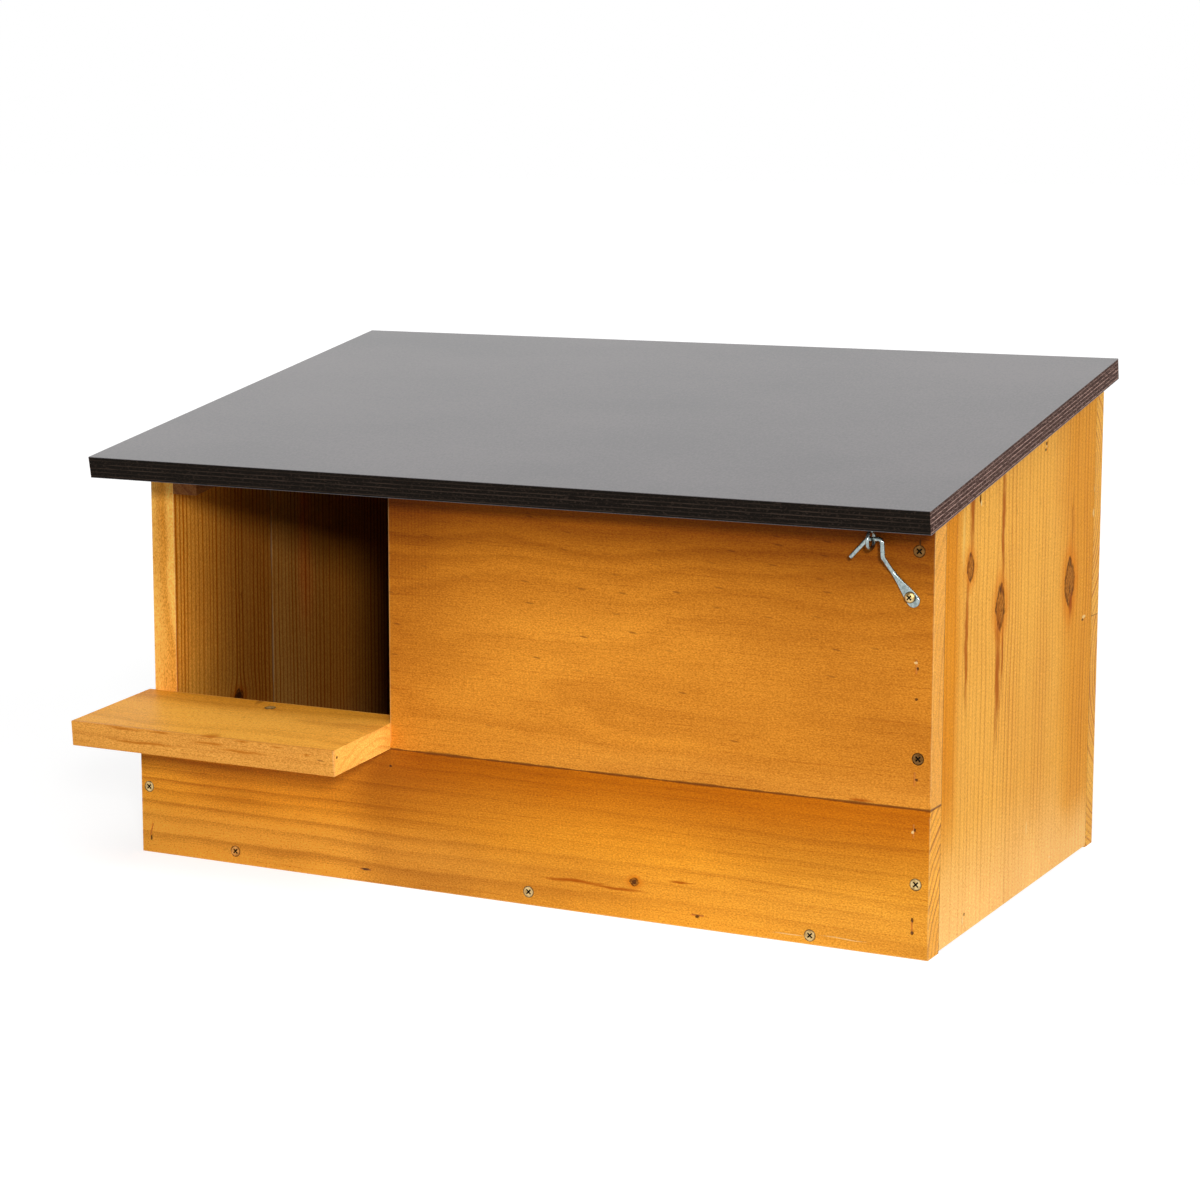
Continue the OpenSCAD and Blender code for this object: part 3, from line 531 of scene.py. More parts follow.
def pine(name, grain, pith, early, late, node=None, ring=4.0, wander=14, share=0.45, seed=0.0, contrast=0.8,
         cloud=0.9, dashes=0.12, knots=(), marks=(), joints=(), gloss=0.08, washes=None, allowed=None,
         inside=INSIDE_SHADE):
    """Makes one board's material. Knots are (along, across, half length, half width, swell), and joints are
    (axis, offset, width, colour). Contrast and dashes are numbers, or functions of the parts. Allowed is a
    function that gives the mask within which marks may show."""
    material, tree, shader = new_material(name)
    whole, parts, place = grain_place(tree, grain)
    push = (0, 0, 0)
    for along, across, half_length, half_width, swell in knots:
        bend = use_group(tree, knot_swell, Place=place, Centre=(along, across, 0), Half_Length=half_length,
                         Half_Width=half_width, Swell=swell)["Push"]
        push = vector_calc(tree, "ADD", push, bend)
    contrast, dashes = (v(tree, parts) if callable(v) else v for v in (contrast, dashes))
    wood = use_group(tree, stained_pine, Place=place, Pith=pith, Push=push, Ring_Width=ring, Wander=wander,
                     Late_Share=share, Seed=seed, Contrast=contrast, Cloud=cloud, Dashes=dashes, Early=early,
                     Late=late)
    colour, height = wood["Colour"], wood["Height"]
    for mask, tint in washes(tree, parts) if washes else ():
        colour = blend_colour(tree, mask, colour, tint, "MULTIPLY")
    for along, across, half_length, half_width, swell in knots:
        branch = use_group(tree, knot, Place=place, Centre=(along, across, 0), Half_Length=half_length,
                           Half_Width=half_width, Around=colour)
        colour = branch["Colour"]
        height = calc(tree, "SUBTRACT", height, branch["Hollow"])
    colour, height = add_marks(tree, place, colour, height, marks, allowed(tree, parts) if allowed else None)
    seams = [(use_group(tree, joint_line, Place=whole, Axis=axis, Offset=offset, Width=width), tint)
             for axis, offset, width, tint in joints]
    if node:
        low, high = (tuple(v / MM for v in corner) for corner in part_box(node))
        rub_and_highlight = use_group(tree, edge_rub_and_highlight, Place=whole, Low=low, High=high, Width=RUB_AND_HIGHLIGHT_WIDTH)["Mask"]
        for seam, _ in seams:
            rub_and_highlight = calc(tree, "MULTIPLY", rub_and_highlight, calc(tree, "SUBTRACT", 1.0, seam["Near"]))
        # Pale edges: rubbed wear, and a painted highlight along each rounded arris.
        colour = blend_colour(tree, calc(tree, "MULTIPLY", rub_and_highlight, RUB_AND_HIGHLIGHT_SHARE), colour, PALE_FIBRE_AND_HIGHLIGHT)
    for seam, tint in seams:
        colour = blend_colour(tree, calc(tree, "MULTIPLY", seam["Mask"], SEAM_SHARE), colour, tint)
        height = calc(tree, "SUBTRACT", height, seam["Mask"])
    # Painted shade inside the box: inner faces are darkened, less so near the entrance, where painted light
    # falls in.
    stain = blend_colour(tree, ramp(tree, parts[1], FRONT_INNER_FACE, -60), ENTRANCE_LIGHT, inside)
    colour = blend_colour(tree, inside_mask(tree, parts), colour, stain, "MULTIPLY")
    plug(tree, shader.inputs["Base Color"], colour)
    plug(tree, shader.inputs["Roughness"], wood["Roughness"])
    shader.inputs["Specular IOR Level"].default_value = gloss
    relief(tree, shader, height, WOOD_RELIEF)
    return material


def dress(material, *names):
    """Gives CAD solids a material."""
    for name in names:
        slots = nodes[name].data.materials
        slots.clear()
        slots.append(material)


print("grain directions:", ", ".join(GRAIN))

# %% [markdown]
# ## The front boards
# The end of the lower front board shows its rings as arcs about a pith 74 mm behind the face, just under
# the board, so the same pith gives the long wavy bands on its face. The upper front board is cut far from
# the pith: soft clouds, little grain, and short dark dashes near its top. A band of painted shade darkens it
# under the roof, the lower board is painted paler under the landing board as painted light, and the lower
# board's stain is a deep amber along the joint. End grain dries paler. These differences could be painted on
# a map for each board. Ramps of the place do the same in a few numbers, and a slow wander of the place keeps
# their borders from looking ruled.

# %% Front boards
Y_WAY, Z_WAY = (0, 1, 0), (0, 0, 1)
JOINT_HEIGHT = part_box("lower_front_board")[1][2] / MM
BOARD_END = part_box("lower_front_board")[1][0] / MM


def end_mask(tree, parts):
    """1 on the sawn ends of the boards that run across the box."""
    return ramp(tree, calc(tree, "ABSOLUTE", parts[0]), BOARD_END - 0.4, BOARD_END - 0.1)


def face_mask(tree, parts):
    """1 everywhere but on those ends."""
    return calc(tree, "SUBTRACT", 1.0, end_mask(tree, parts))


def both(tree, *masks):
    """All the masks at once."""
    result = masks[0]
    for mask in masks[1:]:
        result = calc(tree, "MULTIPLY", result, mask)
    return result


def wavy(tree, parts, axis, size):
    """One of a place's numbers, moved to and fro by slow noise, so that a wash has no straight edge."""
    place = joined(tree, X=parts[0], Y=parts[1], Z=parts[2])
    return calc(tree, "MULTIPLY_ADD", noise(tree, place, (0.01, 0.02, 0.02), 3, 0.6), size,
                calc(tree, "SUBTRACT", parts[axis], size / 2))


def lower_washes(tree, parts):
    """Amber below the joint, darker left of the middle, painted light under the landing board, pale at the
    ends.
    """
    height = wavy(tree, parts, 2, 16)
    face = face_mask(tree, parts)
    amber = both(tree, ramp(tree, height, 35, JOINT_HEIGHT), ramp(tree, parts[0], -150, -60), face)
    left = both(tree, ramp(tree, wavy(tree, parts, 0, 60), 110, -70), ramp(tree, parts[0], -150, -90))
    # Painted light: the face under the landing board is made paler, against the landing board's shadow.
    painted_light_under_landing = ramp(tree, parts[0], -91, -130)
    band = both(tree, ramp(tree, wavy(tree, parts, 0, 50), -270, -210), ramp(tree, parts[0], -40, -110),
                ramp(tree, height, 36, 52), ramp(tree, height, 92, 78))
    foot = both(tree, ramp(tree, height, 50, 20), ramp(tree, parts[0], 60, -60, 0.5, 1.0), face)
    right = both(tree, ramp(tree, parts[0], 120, 260), ramp(tree, height, 85, 50), face)
    return (
        (amber, (0.64, 0.44, 0.09)), (left, (0.76, 0.71, 0.74)), (painted_light_under_landing, (1.2, 1.25, 1.4)),
        (band, (0.84, 0.78, 0.68)), (foot, (1.05, 1.14, 1.8)), (right, (0.92, 0.95, 1.1)),
        (end_mask(tree, parts), (1.18, 1.38, 2.1)),
    )


def upper_washes(tree, parts):
    """Painted shade under the roof, a dark left end, browner low at the right, planer marks, a pale sawn end.
    """
    height = wavy(tree, parts, 2, 14)
    face = face_mask(tree, parts)
    # Painted shade: a dark band under the roof's overhang, and a weaker, broader one below it.
    painted_shade_under_roof = both(tree, ramp(tree, height, 228, 272), face)
    painted_shade_near_roof = both(tree, ramp(tree, height, 180, 255), face)
    foot = both(tree, ramp(tree, height, 122, 98), ramp(tree, parts[0], -40, 60), face)
    left = both(tree, ramp(tree, wavy(tree, parts, 0, 30), 10, -91), ramp(tree, height, 115, 185))
    right = both(tree, ramp(tree, wavy(tree, parts, 0, 40), 60, 240), ramp(tree, height, 95, 125), face)
    ticks = ramp(tree, calc(tree, "SINE", calc(tree, "MULTIPLY", parts[0], 2.4)), 0.0, 0.9)
    ticks = both(tree, ticks, ramp(tree, wavy(tree, parts, 0, 60), -35, -60), ramp(tree, height, 185, 215))
    return (
        (painted_shade_under_roof, (0.42, 0.30, 0.12)), (painted_shade_near_roof, (0.83, 0.74, 0.5)), (foot, (0.94, 0.96, 1.15)),
        (left, (0.74, 0.66, 0.50)), (right, (0.80, 0.75, 0.66)), (ticks, (0.90, 0.86, 0.80)),
        (end_mask(tree, parts), (1.22, 1.48, 2.3)),
    )


LANDING_END, LANDING_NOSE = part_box("landing_board")[1][0] / MM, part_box("landing_board")[0][1] / MM


def landing_washes(tree, parts):
    """A browner strip along the wall, where the stain pooled, a darker nose and a pale sawn end."""
    wall = ramp(tree, wavy(tree, parts, 1, 12), -190, -152)
    end = ramp(tree, parts[0], LANDING_END - 0.4, LANDING_END - 0.1)
    nose = ramp(tree, parts[1], LANDING_NOSE + 3.5, LANDING_NOSE + 2)
    return (wall, (0.84, 0.74, 0.45)), (nose, (0.86, 0.80, 0.95)), (end, (1.18, 1.38, 2.0))


front_joints = [(Z_WAY, JOINT_HEIGHT, 1.4, JOINT_DIRT), (Y_WAY, FRONT_INNER_FACE, 0.5, JOINT_DIRT)]
front_pits = [
    ("pit", 289.1, 25, 0.9, 1.7), ("pit", 289.3, 16.7, 1.1, 1.3), ("pit", 289.8, 82.8, 0.9, 1.2),
    ("chip", 288.4, 81.2, 0.8, 1.1), ("pit", 290.2, 114.8, 1.3, 1.0), ("chip", 288.6, 188.4, 1.2, 0.8),
    ("pit", 289.8, 184.8, 0.9, 1.1), ("pit", 289.3, 165.5, 1.2, 0.9), ("pit", -292.4, 10.5, 0.9, 2.0),
    ("pit", -112, 9, 3.2, 0.9), ("pit", 140.8, 8, 1.6, 1.0),
]
lower_front = pine(
    "lower_front_pine", "length", (0, -17, -95), seen(243, 160, 42), seen(168, 90, 14), "lower_front_board",
    ring=6.0, wander=12, share=0.6, seed=2.0, dashes=0.001, knots=[(95, 25.5, 3.6, 2.8, 3.5)],
    contrast=lambda tree, parts: calc(tree, "ADD", ramp(tree, parts[0], -160, 60, 0.62, 0.28),
                                      calc(tree, "MULTIPLY", end_mask(tree, parts), 0.9)),
    marks=front_pits + [
        ("streak", 50, 20.8, 26, 1.3), ("streak", 84, 19.6, 20, 1.1), ("streak", 129, 29.4, 10, 0.9),
        ("pit", 95, 25.5, 2.0, 1.7), ("pit", -91, 84, 1.2, 0.9),
        ("scratch", 206, 5, 11, 0.4), ("scratch", 243, 6.8, 15, 0.4),
    ],
    joints=front_joints, washes=lower_washes, allowed=face_mask,
)
upper_front = pine(
    "upper_front_pine", "length", (0, 150, -20), seen(231, 149, 46), seen(176, 96, 14), "upper_front_board",
    ring=7, wander=40, share=0.8, seed=5.0, contrast=0.55, cloud=0.75,
    dashes=lambda tree, parts: calc(tree, "MULTIPLY", ramp(tree, parts[2], 140, 215, 0.1, 0.95),
                                    calc(tree, "ADD", face_mask(tree, parts), 0.001)),
    marks=front_pits + [("streak", 254, 98, 8, 1.1), ("pit", 290, 262.5, 0.6, 3.4)],
    joints=front_joints, washes=upper_washes, allowed=face_mask,
)
dress(lower_front, "lower_front_board")
dress(upper_front, "upper_front_board")
landing = pine(
    "landing_pine", "length", (0, 40, -190), seen(255, 182, 72), seen(198, 116, 30), "landing_board",
    ring=7, wander=22, share=0.5, seed=9.0, contrast=0.5, washes=landing_washes,
    marks=[
        ("faint", -260, 107, 15, 0.9), ("faint", -229, 107, 9, 0.8), ("faint", -190, 103.5, 12, 1.1),
        ("faint", -163, 100.5, 22, 1.0), ("faint", -190, 108.2, 7, 0.7), ("faint", -162, 107.6, 5, 0.9),
        ("faint", -135, 106.5, 6, 0.7), ("faint", -112, 103.6, 3, 1.1), ("faint", -247, 98.2, 28, 0.9),
        ("pit", LANDING_END, 103.3, 2, 1.1, -236.5, 1.2),
    ],
)
dress(landing, "landing_board")
print("front boards dressed, the joint between them is at", round(JOINT_HEIGHT, 1), "mm")

# %% [markdown]
# ## The sides, the back and the inside
# The sides are cut near a radius, so their rings are straight, close, even lines: the pith lies far off,
# which needs no other group. Their knots are lenses with pointed ends, and dark resin runs up and down from
# them. On the right side the front and rear strips are a deeper amber, and the stain is thin and pale at
# the foot. The left side shows through the entrance, where its two boards meet in a pale seam.

# %% Side boards
FOOT_PALE, RIGHT_FOOT_PALE = (1.12, 1.30, 3.2), (1.12, 1.29, 2.4)
SIDE_SEAM = -27


def left_washes(tree, parts):
    """A paler foot, and inside a greyer rear board with one reddish band."""
    inside = inside_mask(tree, parts)
    past_seam = ramp(tree, parts[1], SIDE_SEAM - 1, SIDE_SEAM + 1)
    rear = both(tree, inside, past_seam, ramp(tree, wavy(tree, parts, 1, 20), 60, -10))
    across = wavy(tree, parts, 1, 8)
    red = both(tree, inside, ramp(tree, across, 4, 16), ramp(tree, across, 36, 18),
               ramp(tree, wavy(tree, parts, 2, 40), 120, 170))
    edge = ramp(tree, parts[1], FRONT_INNER_FACE + 0.3, FRONT_INNER_FACE + 0.1)
    foot = ramp(tree, wavy(tree, parts, 2, 22), 85, 0)
    return (
        (foot, FOOT_PALE), (rear, (1.12, 1.3, 1.9)), (red, (1.12, 0.85, 0.8)), (edge, (1.2, 1.3, 2.3)),
    )


def right_washes(tree, parts):
    """Amber strips at the front and the rear, and a paler foot."""
    front = both(tree, ramp(tree, wavy(tree, parts, 1, 10), -114, -136), ramp(tree, parts[2], 40, 110))
    rear = both(tree, ramp(tree, wavy(tree, parts, 1, 30), 60, 112),
                ramp(tree, wavy(tree, parts, 2, 30), 10, 50))
    elsewhere = calc(tree, "MULTIPLY_ADD", rear, -0.5, 1.0)
    foot = both(tree, ramp(tree, wavy(tree, parts, 2, 22), 85, 0), elsewhere)
    return (front, (0.86, 0.65, 0.28)), (rear, (0.90, 0.77, 0.52)), (foot, RIGHT_FOOT_PALE)


side_early, side_late = seen(250, 184, 66), seen(202, 114, 6)
right_early, right_late = seen(253, 188, 83), seen(206, 121, 40)
SIDE_JOINT = seen(170, 92, 20)
right_knots = [(240, -105, 9, 6.5, 4), (206, -46, 15, 9, 7), (202, 100, 17, 10.5, 7)]
side_pits = [
    ("pit", 13.8, -103.8, 1.2, 1.2), ("chip", 10.5, -106.5, 3.2, 1.3), ("pit", 282, -89, 3, 1.6),
    ("chip", 279, -87, 2, 1.4), ("pit", 305, 42.2, 1.2, 2.2), ("chip", 303, 42.6, 0.9, 1.8),
    ("pit", 300.8, 40.6, 1.0, 1.8), ("chip", 11.8, 70, 1.4, 1.8),
]
right_marks = side_pits + [
    ("resin", 262, -118, 22, 2.4), ("streak", 284, -103, 40, 4.6), ("streak", 192, -110, 50, 3.6),
    ("streak", 264, -43, 48, 4.0), ("streak", 162, -49, 46, 5.0), ("streak", 172, -40, 26, 1.8),
    ("pit", 217, -46, 2.2, 1.4), ("streak", 242, 104, 24, 1.3), ("streak", 186, 104, 9, 4.0),
    ("pit", 197, 101, 4, 1.0), ("chip", 172.4, 135, 1.3, 4), ("pit", 170.6, 132.5, 0.9, 2.4),
    ("chip", 245, 152, 3, 2), ("chip", 262, 153, 2, 1.4), ("chip", 44, 18, 5, 0.7),
]
rear_seam = (Y_WAY, BACK_INNER_FACE, 0.5, JOINT_DIRT)
SIDES = {
    "right": dict(
        pith=(0, -620, 340), early=right_early, late=right_late, ring=7.0, seed=11.0, gloss=0.01,
        knots=right_knots, marks=right_marks, washes=right_washes,
        joints=[(Y_WAY, FRONT_INNER_FACE, 0.5, JOINT_DIRT), (Y_WAY, SIDE_SEAM, 0.3, SIDE_JOINT), rear_seam],
    ),
    "left": dict(
        pith=(0, 640, -420), early=side_early, late=side_late, ring=4.6, seed=14.0, gloss=0.04,
        knots=[(98, -73, 5, 6, 5)], marks=side_pits + [("pit", 98, -73, 3.4, 4)], washes=left_washes,
        joints=[(Y_WAY, SIDE_SEAM, 1.5, seen(252, 222, 150)), rear_seam],
    ),
}


def side_contrast(tree, parts):
    """The rings' contrast: it fades towards the foot, and it is stronger inside."""
    return calc(tree, "MULTIPLY_ADD", inside_mask(tree, parts), 1.0, ramp(tree, parts[2], 10, 90, 0.3, 0.85))


for side, finish in SIDES.items():
    for half in ("front", "rear"):
        node = f"{side}_side_{half}_board"
        dress(pine(node.replace("board", "pine"), "height", node=node, wander=10, share=0.5, cloud=0.6,
                   dashes=0.05, contrast=side_contrast, **finish), node)
print("side boards dressed, their joint is at", SIDE_SEAM, "mm from the middle")

# %% [markdown]
# The two back boards show their end grain as a strip along the right side's rear edge. The arcs there bend
# about two piths, so each board gets its own. Deep in the box the back boards and the floor get the darkest
# painted shade. The cleats under the roof are a browner wood, and painted darker as painted shade too, and
# the floor and the batten are cut from the same pine as the sides.

# %% Back and inner boards
BACK_SEAM = 170
BACK_PITHS = {"lower": ((0, 133, 229), 21.0), "upper": ((0, 255, 93), 24.0)}
back_seams = [(Z_WAY, BACK_SEAM, 0.35, JOINT_DIRT), (Y_WAY, BACK_INNER_FACE, 0.5, JOINT_DIRT)]
for place, (pith, seed) in BACK_PITHS.items():
    node = f"{place}_back_board"
    dress(pine(f"{place}_back_pine", "length", pith, side_early, side_late, node, ring=5, seed=seed,
               contrast=1.5, joints=back_seams, inside=DEEP_SHADE), node)
dress(pine("floor_pine", "flat length", (0, 20, -60), side_early, side_late, ring=5, seed=31.0,
           inside=DEEP_SHADE), "floor_front_board", "floor_rear_board")
# The cleats' colours are a browner wood, and also darker as painted shade under the roof.
dress(pine("cleat_pine", "depth", (0, -240, 300), seen(156, 106, 50), seen(96, 46, 22), ring=6, seed=35.0),
      "left_side_cleat", "right_side_cleat")
dress(pine("batten_pine", "height", (0, -60, -40), side_early, side_late, ring=3, seed=38.0), "joint_batten")
print("boards dressed:", sum(1 for m in bpy.data.materials if m.name.endswith("_pine")))

# %% [markdown]
# ## The roof
# Film-faced plywood is a stack of thin veneers pressed between two sheets of dark phenolic film. The film
# is smooth and shines at a low angle, so it mirrors the pale studio: that is a dark colour under a clear
# coat, and not a grey colour. The sawn edges are sealed dark brown, and the plies show through as thin
# lines. The panel is one solid, so no face has a material of its own. The height above the roof's underside
# tells film from edge, and it also places the lines.

# %% Film-faced plywood
ROOF_SLOPE = math.radians(10)
ROOF_THICK, PLY_PAIR, EDGE_SKIN = 15, 2.8, 0.25
UNDERSIDE_POINT = (0, 169, 339.6)
roof_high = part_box("roof_panel")[1]
ROOF_END = roof_high[0] / MM


def make_ply_stack():
    """Height in the stack = distance from the underside's plane. Light lines repeat every two plies."""
    tree, given, gives = new_group("ply stack", {"vector": ["Place"]}, {"number": ["Stack", "Line", "End"]})
    above = vector_calc(tree, "SUBTRACT", given["Place"], UNDERSIDE_POINT)
    stack = vector_calc(tree, "DOT_PRODUCT", above, (0, -math.sin(ROOF_SLOPE), math.cos(ROOF_SLOPE)))
    sag = noise(tree, given["Place"], (0.02, 0.02, 0.02), 2, 0.5)
    height = calc(tree, "MULTIPLY_ADD", calc(tree, "SUBTRACT", sag, 0.5), 0.5, stack)
    count = calc(tree, "DIVIDE", height, PLY_PAIR)
    wave = calc(tree, "ABSOLUTE", calc(tree, "SUBTRACT", calc(tree, "FRACT", count), 0.5))
    line = ramp(tree, wave, 0.15, 0.06)
    ply = add_node(tree, "ShaderNodeTexWhiteNoise", {"noise_dimensions": "1D"}, W=calc(tree, "FLOOR", count))
    broken = ramp(tree, noise(tree, given["Place"], (0.05, 0.05, 1.5), 4, 0.7), 0.36, 0.56)
    broken = calc(tree, "MULTIPLY", broken, calc(tree, "MULTIPLY_ADD", ply.outputs["Value"], 0.5, 0.5))
    x = calc(tree, "ABSOLUTE", split(tree, given["Place"])[0])
    plug(tree, gives["Stack"], stack)
    plug(tree, gives["Line"], calc(tree, "MULTIPLY", line, broken))
    plug(tree, gives["End"], ramp(tree, x, ROOF_END - 0.4, ROOF_END - 0.2))
    return tree


def make_roof_material():
    """Film where the stack's height is at its ends, and sealed veneers between."""
    material, tree, shader = new_material("film_faced_plywood")
    place = millimetres(tree)
    ply = use_group(tree, make_ply_stack(), Place=place)
    inside = calc(tree, "MULTIPLY", ramp(tree, ply["Stack"], EDGE_SKIN, EDGE_SKIN + 0.2),
                  ramp(tree, ply["Stack"], ROOF_THICK - EDGE_SKIN, ROOF_THICK - EDGE_SKIN - 0.2))
    grain = noise(tree, place, (0.5, 0.5, 0.5), 4, 0.65)
    patch = noise(tree, place, (0.006, 0.012, 0.02), 2, 0.5)
    speckle = calc(tree, "SUBTRACT", noise(tree, place, (0.7, 0.4, 0.7), 2, 0.6), 0.5)
    patch = calc(tree, "MULTIPLY_ADD", speckle, 2.0, patch)
    film = blend_colour(tree, ramp(tree, patch, 0.0, 1.0), seen(30, 26, 30), seen(74, 66, 68))
    sealed = blend_colour(tree, ply["End"], seen(13, 8, 4), seen(58, 38, 32))
    light = blend_colour(tree, ply["End"], seen(66, 54, 46), seen(214, 176, 162))
    speck = ramp(tree, noise(tree, place, (0.5, 0.7, 0.9), 2, 0.6), 0.5, 0.72, 0.0, 0.4)
    pale = calc(tree, "MAXIMUM", calc(tree, "MULTIPLY", ply["Line"], 0.8), speck)
    sealed = blend_colour(tree, pale, sealed, light)
    plug(tree, shader.inputs["Base Color"], blend_colour(tree, inside, film, sealed))
    plug(tree, shader.inputs["Roughness"], calc(tree, "MULTIPLY_ADD", inside, 0.2, 0.5))
    plug(tree, shader.inputs["Coat Weight"], calc(tree, "SUBTRACT", 1.0, inside))
    shader.inputs["Coat Roughness"].default_value = 0.28
    shader.inputs["Coat IOR"].default_value = 1.65
    shader.inputs["Specular IOR Level"].default_value = 0.08
    relief(tree, shader, grain, 0.02)
    return material


dress(make_roof_material(), "roof_panel")
print("roof dressed, top at", round(roof_high[2] / MM, 1), "mm")

# %% [markdown]
# ## Metal
# The hook, the eye and the hinge pins are steel wire with a bright, bluish zinc plating. The screws and the
# hinge leaves have a yellow zinc plating, which is a gold film with faint green and pink. Plating is a
# metal, so its colour is the colour of its reflections, and fine scratches and dull spots break them up.

# %% Plated steel
RIM_STAIN_AND_SHADE, RIM_WIDTH, RECESS_SHADE = (0.22, 0.15, 0.10), 0.6, seen(34, 26, 16)


def make_worn_plating():
    """Two colours by slow noise, and a roughness that rises in dull spots."""
    tree, given, gives = new_group(
        "worn plating",
        {"vector": ["Place"], "colour": ["Bright", "Dull"], "number": ["Roughness"]},
        {"colour": ["Colour"], "number": ["Roughness", "Height"]},
    )
    spots = ramp(tree, noise(tree, given["Place"], (0.5, 0.5, 0.5), 3, 0.6), 0.35, 0.7)
    fine = noise(tree, given["Place"], (3, 3, 3), 2, 0.6)
    plug(tree, gives["Colour"], blend_colour(tree, spots, given["Bright"], given["Dull"]))
    plug(tree, gives["Roughness"], calc(tree, "ADD", given["Roughness"], calc(tree, "MULTIPLY", spots, 0.12)))
    plug(tree, gives["Height"], fine)
    return tree


worn_plating = make_worn_plating()


def plated(name, bright, dull, roughness, recess=None, washes=None, metal=1.0, heads=(), radius=4.0):
    """A plated steel. Recess is (axis, where it starts, depth): what lies that deep in a head gets painted
    shade.
    Heads are the middles of screw heads, and each head's rim is painted dark: stain, and painted shade in the
    countersink."""
    material, tree, shader = new_material(name)
    place = millimetres(tree)
    finish = use_group(tree, worn_plating, Place=place, Bright=bright, Dull=dull, Roughness=roughness)
    colour = finish["Colour"]
    for mask, tint in washes(tree, split(tree, place)) if washes else ():
        colour = blend_colour(tree, mask, colour, tint, "MULTIPLY")
    if heads:
        away = [vector_calc(tree, "LENGTH", vector_calc(tree, "SUBTRACT", place, middle)) for middle in heads]
        nearest = away[0]
        for other in away[1:]:
            nearest = calc(tree, "MINIMUM", nearest, other)
        nearest = calc(tree, "MULTIPLY_ADD", noise(tree, place, (0.6, 0.6, 0.6), 2), 1.2, nearest)
        # Painted dark ring at each head's rim: stain, and painted shade in the countersink.
        away_from_rim = ramp(tree, nearest, radius - RIM_WIDTH, radius + RIM_WIDTH)
        colour = blend_colour(tree, away_from_rim, colour, RIM_STAIN_AND_SHADE, "MULTIPLY")
    if recess:
        axis, start, depth = recess
        # Painted shade deep in the head's recess.
        deep = vector_calc(tree, "DOT_PRODUCT", vector_calc(tree, "SUBTRACT", place, start), axis)
        colour = blend_colour(tree, ramp(tree, deep, 0.1, depth), colour, RECESS_SHADE)
    plug(tree, shader.inputs["Base Color"], colour)
    plug(tree, shader.inputs["Roughness"], finish["Roughness"])
    shader.inputs["Metallic"].default_value = metal
    relief(tree, shader, finish["Height"], 0.01)
    return material


def front_screw_stains(tree, parts):
    """The two screws in the upper board have gone dark, and the first one at the foot has stain on it."""
    dark = ramp(tree, parts[2], 108, 112)
    stained = ramp(tree, calc(tree, "ABSOLUTE", calc(tree, "ADD", parts[0], 220)), 14, 8)
    return (dark, (0.30, 0.20, 0.13)), (stained, (0.95, 0.60, 0.32))


def sunk_staple(name, grain, marks):
    """A staple's crown under stain and wood dust: nearly the board's colour, with dark pits at its ends."""
    material, tree, shader = new_material(name)
    place = grain_place(tree, grain)[2]
    dust = noise(tree, place, (0.3, 0.9, 0.9), 3, 0.6)
    colour = blend_colour(tree, dust, seen(184, 106, 24), seen(220, 140, 44))
    colour, height = add_marks(tree, place, colour, dust, marks)
    plug(tree, shader.inputs["Base Color"], colour)
    plug(tree, shader.inputs["Roughness"], calc(tree, "MULTIPLY_ADD", dust, 0.3, 0.5))
    relief(tree, shader, height, 0.2)
    return material


zinc = plated("bright_zinc", seen(172, 184, 182), seen(128, 142, 142), 0.16)
hinge_zinc = plated("hinge_zinc", seen(214, 190, 134), seen(170, 146, 96), 0.3)
staples = {"front_staples": sunk_staple("front_staple_zinc", "length", front_pits)}
for side in ("left", "right"):
    staples[side + "_side_staples"] = sunk_staple(side + "_staple_zinc", "height", side_pits)
brass_bright, brass_dull = seen(226, 198, 140), seen(172, 140, 84)
RECESS_START, RECESS_DEPTH = 0.4, 0.9
front_y, back_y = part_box("front_screws")[0][1] / MM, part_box("back_screws")[1][1] / MM
hook_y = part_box("hook_screw")[0][1] / MM + RECESS_START
HEAD_PLACES = [(-293.5, 48), (291, 48), (-220, 9), (16, 9), (220, 6), (291, 128), (289.5, 258)]
front_heads = [(x, front_y, z) for x, z in HEAD_PLACES]
landing_low, landing_high = (np.array(corner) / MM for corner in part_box("landing_board_screw"))
landing_head = (*((landing_low + landing_high) / 2)[:2], landing_high[2])
yellow_zinc = {
    "front_screws": plated("front_screw_zinc", brass_bright, brass_dull, 0.3,
                           ((0, 1, 0), (0, front_y, 0), RECESS_DEPTH), front_screw_stains, heads=front_heads),
    "landing_board_screw": plated("landing_screw_zinc", seen(196, 160, 96), brass_dull, 0.3, metal=0.4,
                                  heads=[landing_head]),
    "back_screws": plated("back_screw_zinc", brass_bright, brass_dull, 0.3,
                          ((0, -1, 0), (0, back_y, 0), RECESS_DEPTH)),
    "hook_screw": plated("hook_screw_zinc", brass_bright, brass_dull, 0.26,
                         ((0, 1, 0), (0, hook_y, 0), RECESS_DEPTH)),
    "other": plated("screw_zinc", brass_bright, brass_dull, 0.3),
}
for node in nodes:
    if node in staples:
        dress(staples[node], node)
    elif node.endswith("leaf"):
        dress(hinge_zinc, node)
    elif node.endswith("pin"):
        dress(zinc, node)
    elif "screw" in node and node != "screw_eye":
        dress(yellow_zinc.get(node, yellow_zinc["other"]), node)
print("metal solids:", sum(1 for o in nodes.values() if o.data.materials[0].name.endswith("zinc")))

# %% [markdown]
# ## Wires as swept surfaces
# A wire is one circle carried along a path. The path is a chain of straight runs whose corners are replaced
# by arcs, as a bending tool leaves them. A curve object with a round bevel could draw that, but its section
# can't change its shape on the way, and this one has to: the hook's wire is hammered into a flat blade at
# the screw, so its circle becomes a wide, thin oval with squarer sides.

# %% Sweeping a section along a path
SIDES_ROUND = 28


